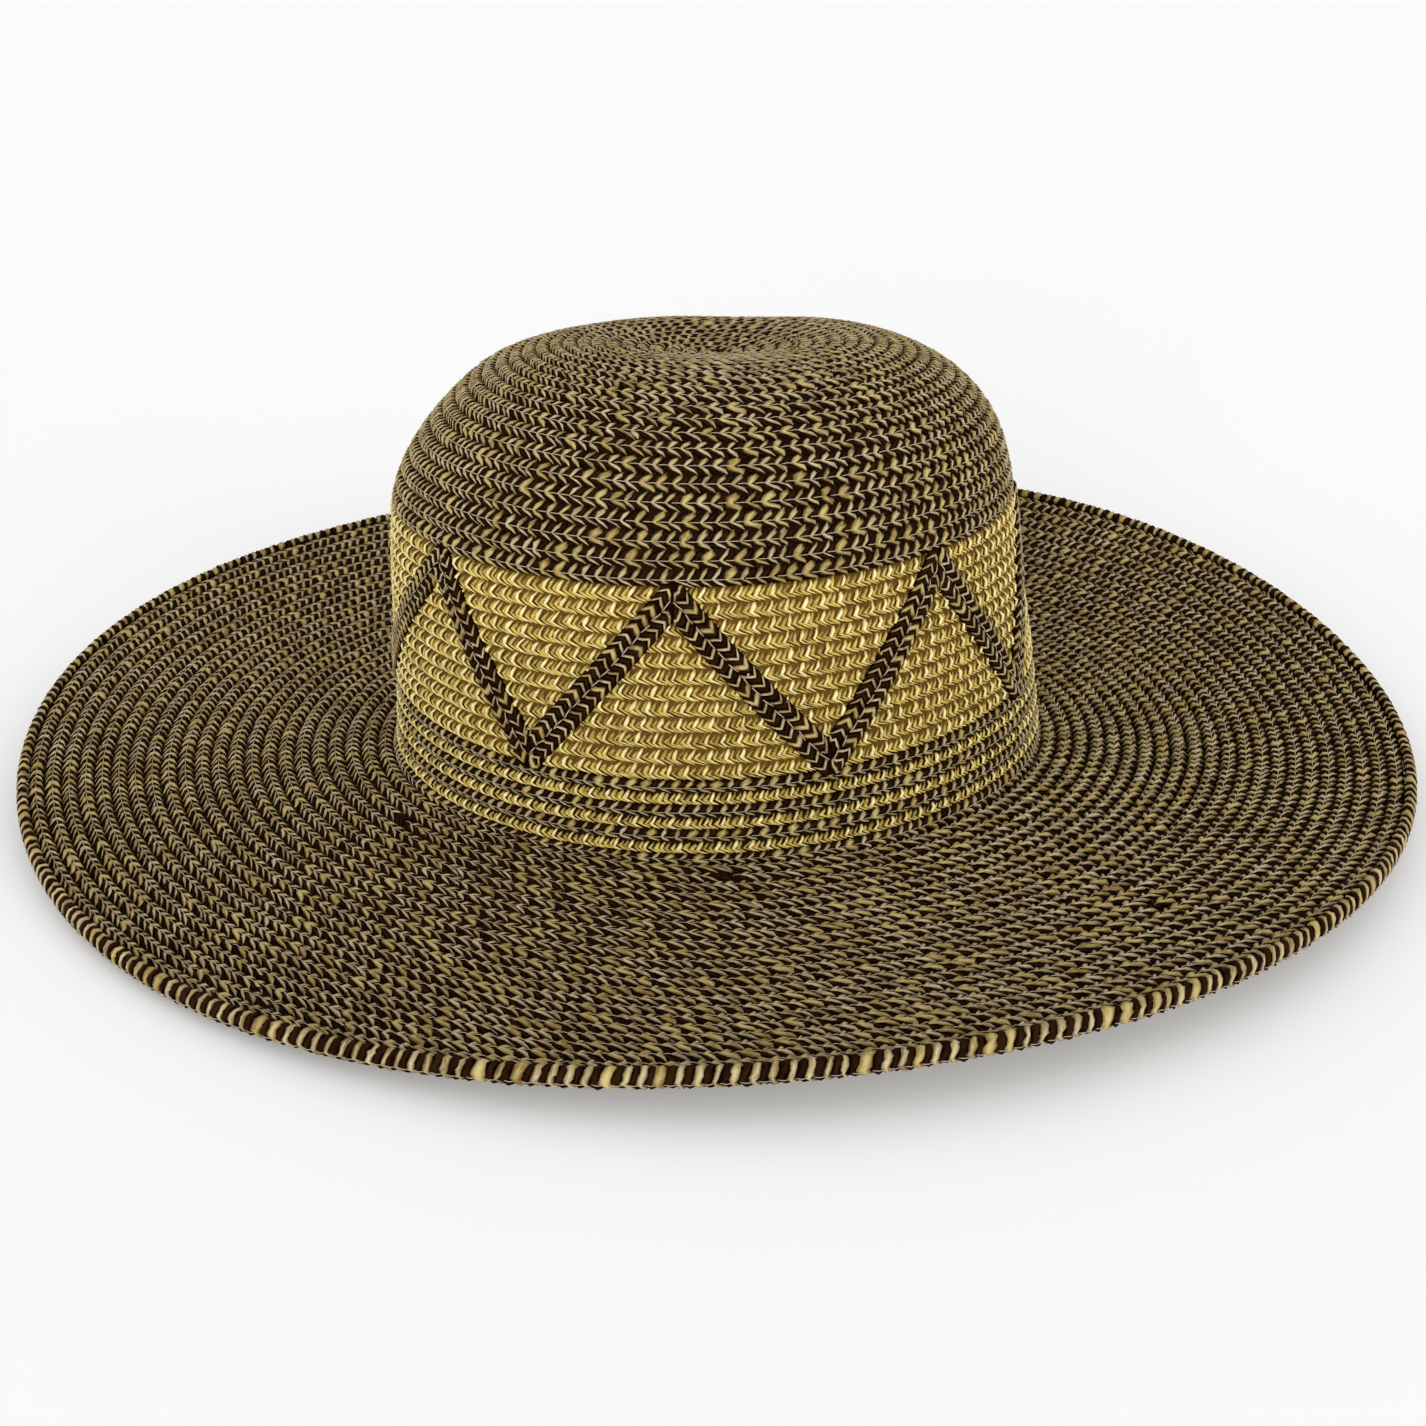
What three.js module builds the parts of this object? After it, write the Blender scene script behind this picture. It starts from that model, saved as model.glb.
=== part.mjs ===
// Wide-brimmed sun hat sewn from spiral rows of woven braid, in millimetres, +Z up, standing on its brim.
// The crown tip and brim are two-tone braid, the crown side is plain braid with a zigzag tape sewn round
// it, and narrow dark and natural rows lead from the plain band into the brim.

import * as THREE from 'three';
import { ParametricGeometry } from 'three/addons/geometries/ParametricGeometry.js';

// Overall sizes of the brim and of the crown at the foot of its plain band
const brimLength = 433;
const brimBreadth = 424;
const crownLength = 200;
const crownBreadth = 178;

// Heights up the crown
const stripeWidth = 3.75;
const bandHeight = 56.3;
const domeRise = 49.8;

// Form of the crown: how far it draws in towards the tip, flares at its foot and squares at its shoulder
const shoulderTaper = 0.943;
const footFlare = 1.023;
const domeFullness = 2.85;
const domeTilt = 0.087;
const tipHollowDepth = 7.7;
const tipHollowReach = 35.8;

// Form of the brim
const jointFillet = 3.5;
const flatWidth = 22;
const rimRise = 12.2;
const dishCurve = 1.8;

// Braid wall, rolled edge row and zigzag tape
const wall = 2.2;
const edgeWidth = 3.4;
const edgeHeight = 5.4;
const tapeWidth = 8.6;
const tapeThickness = 1.2;

// Corners of the tape: how far its centre line turns short of the plain band's ends, how far its blunt
// folds lap over the rows next to the band, and how far the fold tucks in on the inside
const tapeInset = 2.8;
const tapeLap = 1.2;
const tapeTuck = 0.5;

// Share of the fillet between the crown and the brim that the last stripe covers
const stripeOnFillet = 0.727;

// Clearances: between neighbouring rows, and between the tape and the band that it is sewn to
const rowGap = 0.3;
const tapeGap = 0.4;

// Stripes from the foot of the plain band down into the brim
const stripeColours = ['dark', 'natural', 'dark', 'natural', 'dark', 'natural', 'dark'];

// Where the crown leans: the middle of the hat's wall at each height, as shares of the crown's length
const lean = [
  { height: 'foot', along: 0.010, across: 0.012 },
  { height: 'shoulder', along: -0.008, across: 0.006 },
  { height: 'tip', along: 0.0165, across: 0.0045 },
];

// Swell of the dome's shoulder, as shares of the radius: once round, then twice round
const shoulderSwell = [
  { turns: 1, along: 0.016, across: 0.043 },
  { turns: 2, along: -0.063, across: -0.021 },
];

// Waves of the stripes' foot, as shares of a stripe's width
const footWaves = [
  { turns: 1, along: 0.24, across: -0.14 },
  { turns: 2, along: 0.35, across: -0.13 },
];

// Waves of the rim, as shares of its mean rise above the flat inner brim
const rimWaves = [
  { turns: 1, along: 0.16, across: 0.43 },
  { turns: 2, along: -0.25, across: 0.03 },
  { turns: 3, along: -0.21, across: 0.17 },
];

// Waves of the rim's outline seen from above, as shares of the brim's half length
const outlineWaves = [
  { turns: 2, along: 0, across: -0.011 },
];

// Soft dents of the dome: direction in degrees, then height, reach and depth as shares of the crown's
// length; a negative depth is a bump
const dents = [
  { towards: 80, height: 0.62, reach: 0.09, depth: 0.009 },
  { towards: 50, height: 0.58, reach: 0.12, depth: -0.010 },
  { towards: 150, height: 0.60, reach: 0.10, depth: -0.007 },
  { towards: 12, height: 0.44, reach: 0.05, depth: -0.005 },
  { towards: 330, height: 0.57, reach: 0.13, depth: 0.006 },
  { towards: 215, height: 0.50, reach: 0.12, depth: 0.005 },
];

// Corners of the hand-sewn zigzag in degrees round the crown: tops and the bottoms between them
const zigzagTops = [-3, 51, 105.5, 160, 218, 265, 313.7];
const zigzagBottoms = [24, 78, 132.5, 186.5, 238.1, 288.7, 334.5];

// Braid colours, and how rough the straw is
const twoToneColour = '#5e5231';
const naturalColour = '#b0963f';
const darkStripeColour = '#4a3c1e';
const edgeColour = '#554727';
const tapeColour = '#2e2415';
const strawRoughness = 0.75;

// Facets: round the hat, along each stretch of its profile, and along each leg of the zigzag
const facetsRound = 60;
const facetsDome = 11;
const facetsBand = 4;
const facetsStripe = 1;
const facetsLastStripe = 2;
const facetsFlat = 2;
const facetsBrim = 7;
const facetsEdge = 8;
const facetsLeg = 5;

// Sizes that follow from the ones above
const baseRadius = (crownLength + crownBreadth) / 4;
const rimRadius = (brimLength + brimBreadth) / 4;
const shoulderRadius = baseRadius * shoulderTaper;
const jointRadius = baseRadius * footFlare;
const lastStripe = stripeColours.length - 1;
const stripesHeight = lastStripe * stripeWidth;
const sideSlope = (baseRadius - shoulderRadius) / bandHeight;
const footSlope = 2 * (jointRadius - baseRadius) / stripesHeight - sideSlope;
const footLean = Math.atan(footSlope);
const jointHeight = wall + jointFillet * (1 - Math.sin(footLean));
const filletCentre = jointRadius + jointFillet * Math.cos(footLean);
const bandFoot = jointHeight + stripesHeight;
const bandTop = bandFoot + bandHeight;
const tipHeight = bandTop + domeRise;
const flatEnd = filletCentre + flatWidth;
const tapeRadius = (shoulderRadius + baseRadius) / 2;

// A curve that answers getPoint from a function of its share t
class ProfileCurve extends THREE.Curve {
  constructor(pointAt) {
    super();
    this.pointAt = pointAt;
  }

  getPoint(t, target = new THREE.Vector2()) {
    const [across, up] = this.pointAt(t);
    return target.set(across, up);
  }
}

// Half a superellipse from the tip down to the shoulder, full where the power is above 2, that draws in
// at its foot by the slope of the side below it
const domeCurve = new ProfileCurve((t) => {
  const turn = t * Math.PI / 2;
  const power = 2 / domeFullness;
  const rise = domeRise * Math.pow(Math.max(Math.cos(turn), 0), power);
  return [(shoulderRadius - sideSlope * rise) * Math.pow(Math.sin(turn), power), bandTop + rise];
});

const bandCurve = new THREE.LineCurve(
  new THREE.Vector2(shoulderRadius, bandTop),
  new THREE.Vector2(baseRadius, bandFoot),
);

// The stripes go on at the side's slope and bend to the foot's slope towards the brim
const stripesCurve = new ProfileCurve((t) => [
  baseRadius + stripesHeight * (sideSlope * t + (footSlope - sideSlope) * t * t / 2),
  bandFoot - stripesHeight * t,
]);

const filletCurve = new THREE.EllipseCurve(
  filletCentre, wall + jointFillet, jointFillet, jointFillet, Math.PI + footLean, Math.PI * 1.5, false,
);

const flatCurve = new THREE.LineCurve(
  new THREE.Vector2(filletCentre, wall),
  new THREE.Vector2(flatEnd, wall),
);

// The dished brim lies flat, then rises ever more steeply to the rim
const dishCurveLine = new ProfileCurve((t) => [
  flatEnd + (rimRadius - flatEnd) * t,
  wall + rimRise * Math.pow(t, dishCurve),
]);

// Sum of a table's waves at an angle round the hat
function waveSum(waves, angle) {
  return waves.reduce(
    (sum, { turns, along, across }) => (
      sum + along * Math.cos(turns * angle) + across * Math.sin(turns * angle)
    ),
    0,
  );
}

// Sideways place of the wall's middle at a height, in one direction
function leanAt(height, direction) {
  const [foot, shoulder, tip] = lean.map((row) => row[direction] * crownLength);
  const upSide = THREE.MathUtils.smoothstep(height, jointHeight, bandTop);
  const upDome = THREE.MathUtils.smoothstep(height, bandTop, tipHeight);
  return foot + (shoulder - foot) * upSide + (tip - shoulder) * upDome;
}

// Moves a point of the round, even hat to its place on the oval, leaning, waved and dented hat
function warpPoint(point) {
  const radius = Math.hypot(point.x, point.y);
  const angle = Math.atan2(point.y, point.x);
  const height = point.z;
  const toRim = THREE.MathUtils.clamp((radius - jointRadius) / (rimRadius - jointRadius), 0, 1);
  const pastFlat = Math.max((radius - flatEnd) / (rimRadius - flatEnd), 0);
  const dome = THREE.MathUtils.clamp((height - bandTop) / domeRise, 0, 1);

  const domeTurn = Math.asin(Math.pow(dome, domeFullness / 2));
  const swell = 1 + Math.sin(2 * domeTurn) * waveSum(shoulderSwell, angle);
  const outline = toRim * toRim * waveSum(outlineWaves, angle) * brimLength / 2;
  const reach = radius * swell + outline;
  const ovalLength = THREE.MathUtils.lerp(crownLength / baseRadius, brimLength / rimRadius, toRim) / 2;
  const ovalBreadth = THREE.MathUtils.lerp(crownBreadth / baseRadius, brimBreadth / rimRadius, toRim) / 2;

  point.x = reach * ovalLength * Math.cos(angle) + leanAt(height, 'along') * (1 - toRim);
  point.y = reach * ovalBreadth * Math.sin(angle) + leanAt(height, 'across') * (1 - toRim);

  const footShare = THREE.MathUtils.smoothstep(height, wall, jointHeight)
    * (1 - THREE.MathUtils.smoothstep(height, jointHeight, tipHeight));
  point.z += footShare * stripeWidth * waveSum(footWaves, angle);
  point.z += rimRise * Math.pow(pastFlat, dishCurve) * waveSum(rimWaves, angle);
  point.z -= dome * domeTilt * point.y;
  point.z -= dome * tipHollowDepth * Math.exp(-Math.pow(radius / tipHollowReach, 2));
  dentPoint(point);
  return point;
}

// Pushes a point towards the crown's heart where a dent reaches it
function dentPoint(point) {
  const heart = new THREE.Vector3(0, 0, bandTop);
  const push = new THREE.Vector3();
  for (const dent of dents) {
    const turn = THREE.MathUtils.degToRad(dent.towards);
    const centre = new THREE.Vector3(
      Math.cos(turn) * dentRadius(dent) * crownLength / (2 * baseRadius),
      Math.sin(turn) * dentRadius(dent) * crownBreadth / (2 * baseRadius),
      dent.height * crownLength,
    );
    const nearness = Math.exp(-point.distanceToSquared(centre) / Math.pow(dent.reach * crownLength, 2));
    const inward = heart.clone().sub(centre).normalize();
    push.addScaledVector(inward, dent.depth * crownLength * nearness);
  }
  point.add(push);
}

// Radius of the dome at a dent's height
function dentRadius(dent) {
  const share = THREE.MathUtils.clamp((dent.height * crownLength - bandTop) / domeRise, 0, 1);
  return shoulderRadius * Math.pow(1 - Math.pow(share, domeFullness), 1 / domeFullness);
}

// Points along a stretch of a profile curve, set in below it by a depth
function stretch(curve, from, to, steps, depth) {
  const points = [];
  for (let i = 0; i <= steps; i += 1) {
    const t = THREE.MathUtils.lerp(from, to, i / steps);
    const point = curve.getPoint(t);
    const tangent = curve.getTangent(t);
    points.push(new THREE.Vector2(point.x + depth * tangent.y, point.y - depth * tangent.x));
  }
  return points;
}

// Share of a curve that a length at its end takes up
function shareOf(curve, length) {
  return length / curve.getLength();
}

// Turns a closed profile of across and up, given anticlockwise, into a solid round +Z, then warps it
function turned(profile) {
  const geometry = new THREE.LatheGeometry(profile, facetsRound);
  geometry.rotateX(Math.PI / 2);
  return warped(geometry);
}

// Warps every vertex of a geometry
function warped(geometry) {
  const position = geometry.getAttribute('position');
  const point = new THREE.Vector3();
  for (let i = 0; i < position.count; i += 1) {
    warpPoint(point.fromBufferAttribute(position, i));
    position.setXYZ(i, point.x, point.y, point.z);
  }
  geometry.computeVertexNormals();
  return geometry;
}

// One side of a wall along curves that follow each other, each met where the one before it ends
function wallSide(pieces, depth) {
  return pieces.flatMap(([curve, from, to, steps], i) => {
    const points = stretch(curve, from, to, steps, depth);
    return i === 0 ? points : points.slice(1);
  });
}

// A ring of braid wall: down its inner side, back up its outer side and closed on itself
function ringWall(pieces) {
  const inner = wallSide(pieces, wall);
  const outer = wallSide(pieces, 0);
  return turned([...inner, ...outer.reverse(), inner[0].clone()]);
}

// The crown's tip and shoulder: a hollow dome, closed over the axis, down to the plain band
function crownTop() {
  const end = 1 - shareOf(domeCurve, rowGap / 2);
  const outer = stretch(domeCurve, 0, end, facetsDome, 0);
  const inner = stretch(domeCurve, 0, end, facetsDome, wall);
  outer[0].set(0, tipHeight);
  inner[0].set(0, tipHeight - wall);
  return turned([...inner, ...outer.reverse()]);
}

// The plain braid round the crown's side
function crownBand() {
  const gap = shareOf(bandCurve, rowGap / 2);
  return ringWall([[bandCurve, gap, 1 - gap, facetsBand]]);
}

// One narrow row between the plain band and the brim; the last one lies on the fillet
function stripeRow(index) {
  if (index === lastStripe) {
    const gap = shareOf(filletCurve, rowGap / 2);
    return ringWall([[filletCurve, gap, stripeOnFillet - gap, facetsLastStripe]]);
  }
  const gap = shareOf(stripesCurve, rowGap / 2);
  return ringWall([[stripesCurve, index / lastStripe + gap, (index + 1) / lastStripe - gap, facetsStripe]]);
}

// The two-tone brim: the rest of the fillet, the flat that the hat stands on, and the dish
function brim() {
  const gap = shareOf(filletCurve, rowGap / 2);
  const edgeShare = shareOf(dishCurveLine, edgeWidth / 2 + rowGap);
  return ringWall([
    [filletCurve, stripeOnFillet + gap, 1, 1],
    [flatCurve, 0, 1, facetsFlat],
    [dishCurveLine, 0, 1 - 2 * edgeShare, facetsBrim],
  ]);
}

// The braid row rolled over the rim: a rounded upright section
function brimEdge() {
  const rimEnd = dishCurveLine.getPoint(1);
  const section = new THREE.EllipseCurve(
    rimEnd.x - edgeWidth / 2, rimEnd.y - wall / 2, edgeWidth / 2, edgeHeight / 2, 0, Math.PI * 2, false,
  );
  return turned(section.getPoints(facetsEdge));
}

// A corner of the zigzag on the flattened crown side. The numbers run on round the crown, even for the
// tops and odd for the bottoms between them
function zigzagCorner(number) {
  const round = Math.floor(number / 2 / zigzagTops.length);
  const index = Math.floor(number / 2) - round * zigzagTops.length;
  const isTop = number % 2 === 0;
  const turn = THREE.MathUtils.degToRad((isTop ? zigzagTops : zigzagBottoms)[index]);
  return new THREE.Vector2(
    (turn + round * Math.PI * 2) * tapeRadius,
    isTop ? bandTop - tapeInset : bandFoot + tapeInset,
  );
}

// Unit vector from one corner to another
function wayBetween(start, end) {
  return end.clone().sub(start).normalize();
}

// Where one edge of a leg ends at a corner. From the mitre with the other leg it is set back along its
// leg, as far as the lap past the band's end allows, and on the inside by the tuck
function legEnd(corner, into, out, back, side) {
  const mitre = new THREE.Vector2(-into.y - out.y, into.x + out.x);
  const sharp = corner.addScaledVector(mitre, side * tapeWidth / mitre.lengthSq());
  const limit = THREE.MathUtils.clamp(sharp.y, bandFoot - tapeLap, bandTop + tapeLap);
  const cut = Math.max((limit - sharp.y) / back.y, tapeTuck);
  return sharp.addScaledVector(back, cut);
}

// Point on one edge of the tape, at a share of the way along a leg
function tapeEdge(leg, share, side) {
  const [before, start, end, after] = [-1, 0, 1, 2].map((step) => zigzagCorner(leg + step));
  const way = wayBetween(start, end);
  const wayIn = wayBetween(before, start);
  const wayOut = wayBetween(end, after);
  const from = legEnd(start, wayIn, way, way, side);
  return from.lerp(legEnd(end, way, wayOut, way.clone().negate(), side), share);
}

// The zigzag tape: a closed flat band that lies round the plain braid, clear of it by the tape's gap
function zigzagTape() {
  const corners = [[-1, 0], [1, 0], [1, 1], [-1, 1], [-1, 0]];
  const sectionSides = corners.length - 1;
  const stationsInLeg = facetsLeg + 1;
  const stations = stationsInLeg * (zigzagTops.length + zigzagBottoms.length);
  const surface = (u, v, target) => {
    const [side, layer] = corners[Math.round(u * sectionSides)];
    const station = Math.round(v * stations) % stations;
    const flat = tapeEdge(Math.floor(station / stationsInLeg), station % stationsInLeg / facetsLeg, side);
    const down = (bandTop - flat.y) / bandHeight;
    const bandRadius = THREE.MathUtils.lerp(shoulderRadius, baseRadius, down);
    const radius = bandRadius + tapeGap + layer * tapeThickness;
    const angle = flat.x / tapeRadius;
    target.set(radius * Math.cos(angle), radius * Math.sin(angle), flat.y);
  };
  return warped(new ParametricGeometry(surface, sectionSides, stations));
}

// A named mesh with its braid's colour
function piece(name, geometry, colour) {
  const material = new THREE.MeshStandardMaterial({
    color: colour,
    roughness: strawRoughness,
    metalness: 0,
  });
  const mesh = new THREE.Mesh(geometry, material);
  mesh.name = name;
  return mesh;
}

const sunHat = new THREE.Group();
sunHat.add(piece('crown_top', crownTop(), twoToneColour));
sunHat.add(piece('crown_band', crownBand(), naturalColour));
stripeColours.forEach((kind, index) => {
  const colour = kind === 'dark' ? darkStripeColour : naturalColour;
  sunHat.add(piece(`${kind}_stripe_${index + 1}`, stripeRow(index), colour));
});
sunHat.add(piece('brim', brim(), twoToneColour));
sunHat.add(piece('brim_edge', brimEdge(), edgeColour));
sunHat.add(piece('zigzag_tape', zigzagTape(), tapeColour));

export default sunHat;
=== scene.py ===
"""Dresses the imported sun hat: braided straw walls, every strand of the braid, the zigzag tape and a studio.

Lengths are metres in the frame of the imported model, which stands on its brim with +Z up.
"""

import math

import bpy
import numpy as np
from bpy.props import FloatProperty, FloatVectorProperty, IntProperty, PointerProperty
from mathutils import Matrix


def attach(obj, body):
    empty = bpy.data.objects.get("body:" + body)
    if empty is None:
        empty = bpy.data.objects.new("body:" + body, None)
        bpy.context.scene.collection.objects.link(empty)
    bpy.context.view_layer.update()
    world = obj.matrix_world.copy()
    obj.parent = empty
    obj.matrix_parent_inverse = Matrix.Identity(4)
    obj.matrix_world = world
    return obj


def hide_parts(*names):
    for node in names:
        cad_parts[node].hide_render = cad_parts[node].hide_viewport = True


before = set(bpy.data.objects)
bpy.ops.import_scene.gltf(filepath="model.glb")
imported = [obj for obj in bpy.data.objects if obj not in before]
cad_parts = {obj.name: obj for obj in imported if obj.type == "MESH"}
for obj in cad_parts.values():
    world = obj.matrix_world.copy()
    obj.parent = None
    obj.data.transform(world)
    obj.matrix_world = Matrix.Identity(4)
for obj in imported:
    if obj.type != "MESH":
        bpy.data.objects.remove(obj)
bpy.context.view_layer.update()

bl_info = {
    "name": "Braided straw sun hat",
    "version": (1, 0, 0),
    "blender": (4, 5, 0),
    "location": "View3D > Sidebar > Sun hat",
    "description": "Builds a wide-brimmed sun hat sewn from rows of two-tone straw braid",
    "category": "Add Mesh",
}

BODY = "root"
STRIPES = ("dark_stripe_1", "natural_stripe_2", "dark_stripe_3", "natural_stripe_4",
           "dark_stripe_5", "natural_stripe_6", "dark_stripe_7")

# How finely a profile is sampled before rows are laid along it
FINE = 1600

# Where the crown leans: foot, shoulder and tip, as shares of the crown's length along X and Y
LEAN = np.array([[0.010, 0.012], [-0.008, 0.006], [0.0165, 0.0045]])

# Waves round the hat: turns, cosine share and sine share
SHOULDER_SWELL = np.array([[1, 0.016, 0.043], [2, -0.063, -0.021]])
FOOT_WAVES = np.array([[1, 0.24, -0.14], [2, 0.35, -0.13]])
RIM_WAVES = np.array([[1, 0.16, 0.43], [2, -0.25, 0.03], [3, -0.21, 0.17]])
OUTLINE_WAVES = np.array([[2, 0, -0.011]])

# Soft dents of the dome: direction in degrees, then height, reach and depth as shares of the crown's length
DENTS = np.array([
    [80, 0.62, 0.09, 0.009], [50, 0.58, 0.12, -0.010], [150, 0.60, 0.10, -0.007],
    [12, 0.44, 0.05, -0.005], [330, 0.57, 0.13, 0.006], [215, 0.50, 0.12, 0.005],
])

# Corners of the zigzag in degrees round the crown
ZIGZAG_TOPS = np.array([-3, 51, 105.5, 160, 218, 265, 313.7])
ZIGZAG_BOTTOMS = np.array([24, 78, 132.5, 186.5, 238.1, 288.7, 334.5])

# Dark knots of the brim and the tip: angle in degrees, then radius and reach as shares of the brim's length
KNOTS = np.array([
    [216.5, 0.256, 0.0060], [219.5, 0.266, 0.0045], [311, 0.402, 0.0060], [270.5, 0.246, 0.0048], [0, 0, 0.0060],
])

# Angle round the hat where a spiral of braid starts and ends: the middle of the back
BACK = math.pi / 2


def length(name, default, description):
    """A property for a size in metres."""
    return FloatProperty(name=name, description=description, default=default, min=0, precision=5,
                         unit="LENGTH")


def share(name, default, description):
    """A property for a plain number."""
    return FloatProperty(name=name, description=description, default=default, precision=4)


def colour(name, default, description):
    """A property for a linear colour."""
    return FloatVectorProperty(name=name, description=description, default=default, size=3, min=0, max=1,
                               subtype="COLOR")


class SUNHAT_PG_form(bpy.types.PropertyGroup):
    """Sizes of the hat's form, the same as those of its solids."""

    brim_length: length("Brim length", 0.433, "Brim from side to side")
    brim_breadth: length("Brim breadth", 0.424, "Brim from front to back")
    crown_length: length("Crown length", 0.200, "Crown from side to side at the foot of its plain band")
    crown_breadth: length("Crown breadth", 0.178, "Crown from front to back at the foot of its plain band")
    stripe_width: length("Stripe width", 0.00375, "One narrow row between the plain band and the brim")
    band_height: length("Band height", 0.0563, "Plain band round the crown's side")
    dome_rise: length("Dome rise", 0.0498, "From the plain band's top to the tip")
    shoulder_taper: share("Shoulder taper", 0.943, "How far the side draws in towards the dome")
    foot_flare: share("Foot flare", 1.023, "How far the stripes flare towards the brim")
    dome_fullness: share("Dome fullness", 2.85, "Power of the dome's curve: 2 is an ellipse, more is squarer")
    dome_tilt: share("Dome tilt", 0.087, "Fall of the dome towards the back")
    tip_hollow_depth: length("Tip hollow depth", 0.0077, "Depth of the hollow at the tip")
    tip_hollow_reach: length("Tip hollow reach", 0.0358, "Radius of the hollow at the tip")
    joint_fillet: length("Joint fillet", 0.0035, "Radius between the crown and the brim")
    stripe_on_fillet: share("Stripe on fillet", 0.727, "Share of that fillet under the last stripe")
    flat_width: length("Flat width", 0.022, "Part of the brim that lies flat")
    rim_rise: length("Rim rise", 0.0122, "Mean rise of the rim above the flat")
    dish_curve: share("Dish curve", 1.8, "Power of the brim's rise")
    wall: length("Wall", 0.0022, "Thickness of the braid wall")
    edge_width: length("Edge width", 0.0034, "Thickness of the rolled edge row")
    edge_height: length("Edge height", 0.0054, "Height of the rolled edge row")
    row_gap: length("Row gap", 0.0003, "Clearance between neighbouring walls")
    tape_width: length("Tape width", 0.0086, "Width of the zigzag tape")
    tape_thickness: length("Tape thickness", 0.0012, "Thickness of the zigzag tape")
    tape_gap: length("Tape gap", 0.0004, "Clearance between the tape and the plain band")
    tape_inset: length("Tape inset", 0.0028, "How far the tape's centre line turns short of the band's ends")
    tape_lap: length("Tape lap", 0.0012, "How far the tape's blunt folds lap over the rows next to the band")
    tape_tuck: length("Tape tuck", 0.0005, "How far a fold tucks in on its inside")


class SUNHAT_PG_braid(bpy.types.PropertyGroup):
    """Rows and strands of the braid."""

    dome_rows: IntProperty(name="Dome rows", description="Turns of braid from the tip to the plain band",
                           default=25, min=4)
    band_rows: IntProperty(name="Band rows", description="Rows of the plain band", default=12, min=2)
    brim_rows: IntProperty(name="Brim rows", description="Turns of braid from the crown to the rim",
                           default=22, min=4)
    dark_strand: length("Dark strand", 0.00205, "Width of a dark strand along its row")
    tan_strand: length("Tan strand", 0.00155, "Width of a tan strand along its row")
    gold_strand: length("Gold strand", 0.00245, "Width of a broad gold strand along its row")
    gold_share: share("Gold share", 0.26, "Share of the light strands that are broad and gold")
    cream_strand: length("Cream strand", 0.00125, "Width of a bright post in the plain band")
    ochre_strand: length("Ochre strand", 0.00170, "Width of a dull strand in the plain band")
    row_bulge: length("Row bulge", 0.0008, "How far the middle of a row stands above its seams")
    thread_width: length("Thread width", 0.00023, "Width of the sewing thread")
    tape_pitch: length("Tape pitch", 0.0034, "Length of tape that a dark and a light strand take up")
    tape_light: length("Tape light strand", 0.00116, "Width of a light strand of the tape")
    tape_broad: length("Tape broad strand", 0.0021, "Width of a broad light strand of the tape")
    dash_pitch: length("Dash pitch", 0.0045, "Length of tape for each stitch down its middle")
    dash_length: length("Dash length", 0.0032, "Length of a stitch down the middle of the tape")
    seed: IntProperty(name="Seed", description="Start of the random numbers", default=7)


class SUNHAT_PG_colours(bpy.types.PropertyGroup):
    """Straw colours, the painted shade on and between the strands, and the floor."""

    # Darkest tone of the dark strands: their dye, and also the painted shade at their sides, sunk ends and
    # grooves, where the tone is low.
    black: colour("Black straw", (0.0058, 0.0011, 0.0003), "Dyed dark strands")
    # Lighter brown tone of the dark strands, on their middles and in random streaks, and the dark strands' colour
    # in the wall's drawn pattern.
    black_brown: colour("Brown black straw", (0.0260, 0.0095, 0.0024), "Dark strands where the dye is thin")
    tan: colour("Tan straw", (0.47, 0.38, 0.155), "Light strands of the two-tone braid")
    tan_rosy: colour("Rosy tan straw", (0.61, 0.485, 0.31), "Other light strands of the two-tone braid")
    # Painted shade: the dull end of the tan strands' tone, shown at their sides, sunk ends and grooves, and also
    # in their dull streaks.
    tan_dull_and_shade: colour("Dull tan straw", (0.150, 0.080, 0.014), "Light strands in their grooves")
    gold: colour("Gold straw", (0.50, 0.40, 0.135), "Broad light strands")
    gold_rosy: colour("Rosy gold straw", (0.54, 0.405, 0.18), "Other broad light strands")
    # Painted shade: the dull end of the gold strands' tone, shown at their sides, sunk ends and grooves, and also
    # in their dull streaks.
    gold_dull_and_shade: colour("Dull gold straw", (0.190, 0.108, 0.016), "Broad light strands in their grooves")
    cream: colour("Cream straw", (0.98, 0.85, 0.42), "Bright posts of the plain braid")
    # Painted shade: the dull end of the cream posts' tone, shown at their sides, sunk ends and grooves, and also
    # in their dull streaks.
    cream_dull_and_shade: colour("Dull cream straw", (0.62, 0.47, 0.13), "Bright posts in their grooves")
    ochre: colour("Ochre straw", (0.80, 0.62, 0.16), "Lit strands of the plain braid")
    ochre_brown: colour("Brown ochre straw", (0.66, 0.47, 0.11), "Other strands of the plain braid")
    # Painted shade: the dull end of the ochre strands' tone, shown at their sides, sunk ends and grooves, and also
    # in their dull streaks and, by the fall, more towards a strand's top.
    ochre_dull_and_shade: colour("Dark ochre straw", (0.190, 0.100, 0.013), "Strands of the plain braid in their grooves")
    # Painted shade: the near-black wall colour seen in the gaps between two-tone strands, and the colour the
    # wall's drawn pattern darkens to at strand sides and row seams.
    ground: colour("Braid ground", (0.0070, 0.0030, 0.0010), "Wall seen between two-tone strands")
    # Painted shade: the dark ochre wall colour seen in the gaps between plain strands, and the colour the drawn
    # pattern darkens to at strand sides and row seams.
    plain_ground_shade: colour("Plain braid ground", (0.075, 0.038, 0.005), "Wall seen between plain strands")
    thread: colour("Sewing thread", (0.60, 0.48, 0.32), "Thread along the middle of each row")
    floor: colour("Floor", (0.96, 0.96, 0.96), "Pale studio floor")


# Shape of the hat


def lerp(start, end, part):
    """Point at a share of the way from start to end."""
    return start + (end - start) * part


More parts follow.
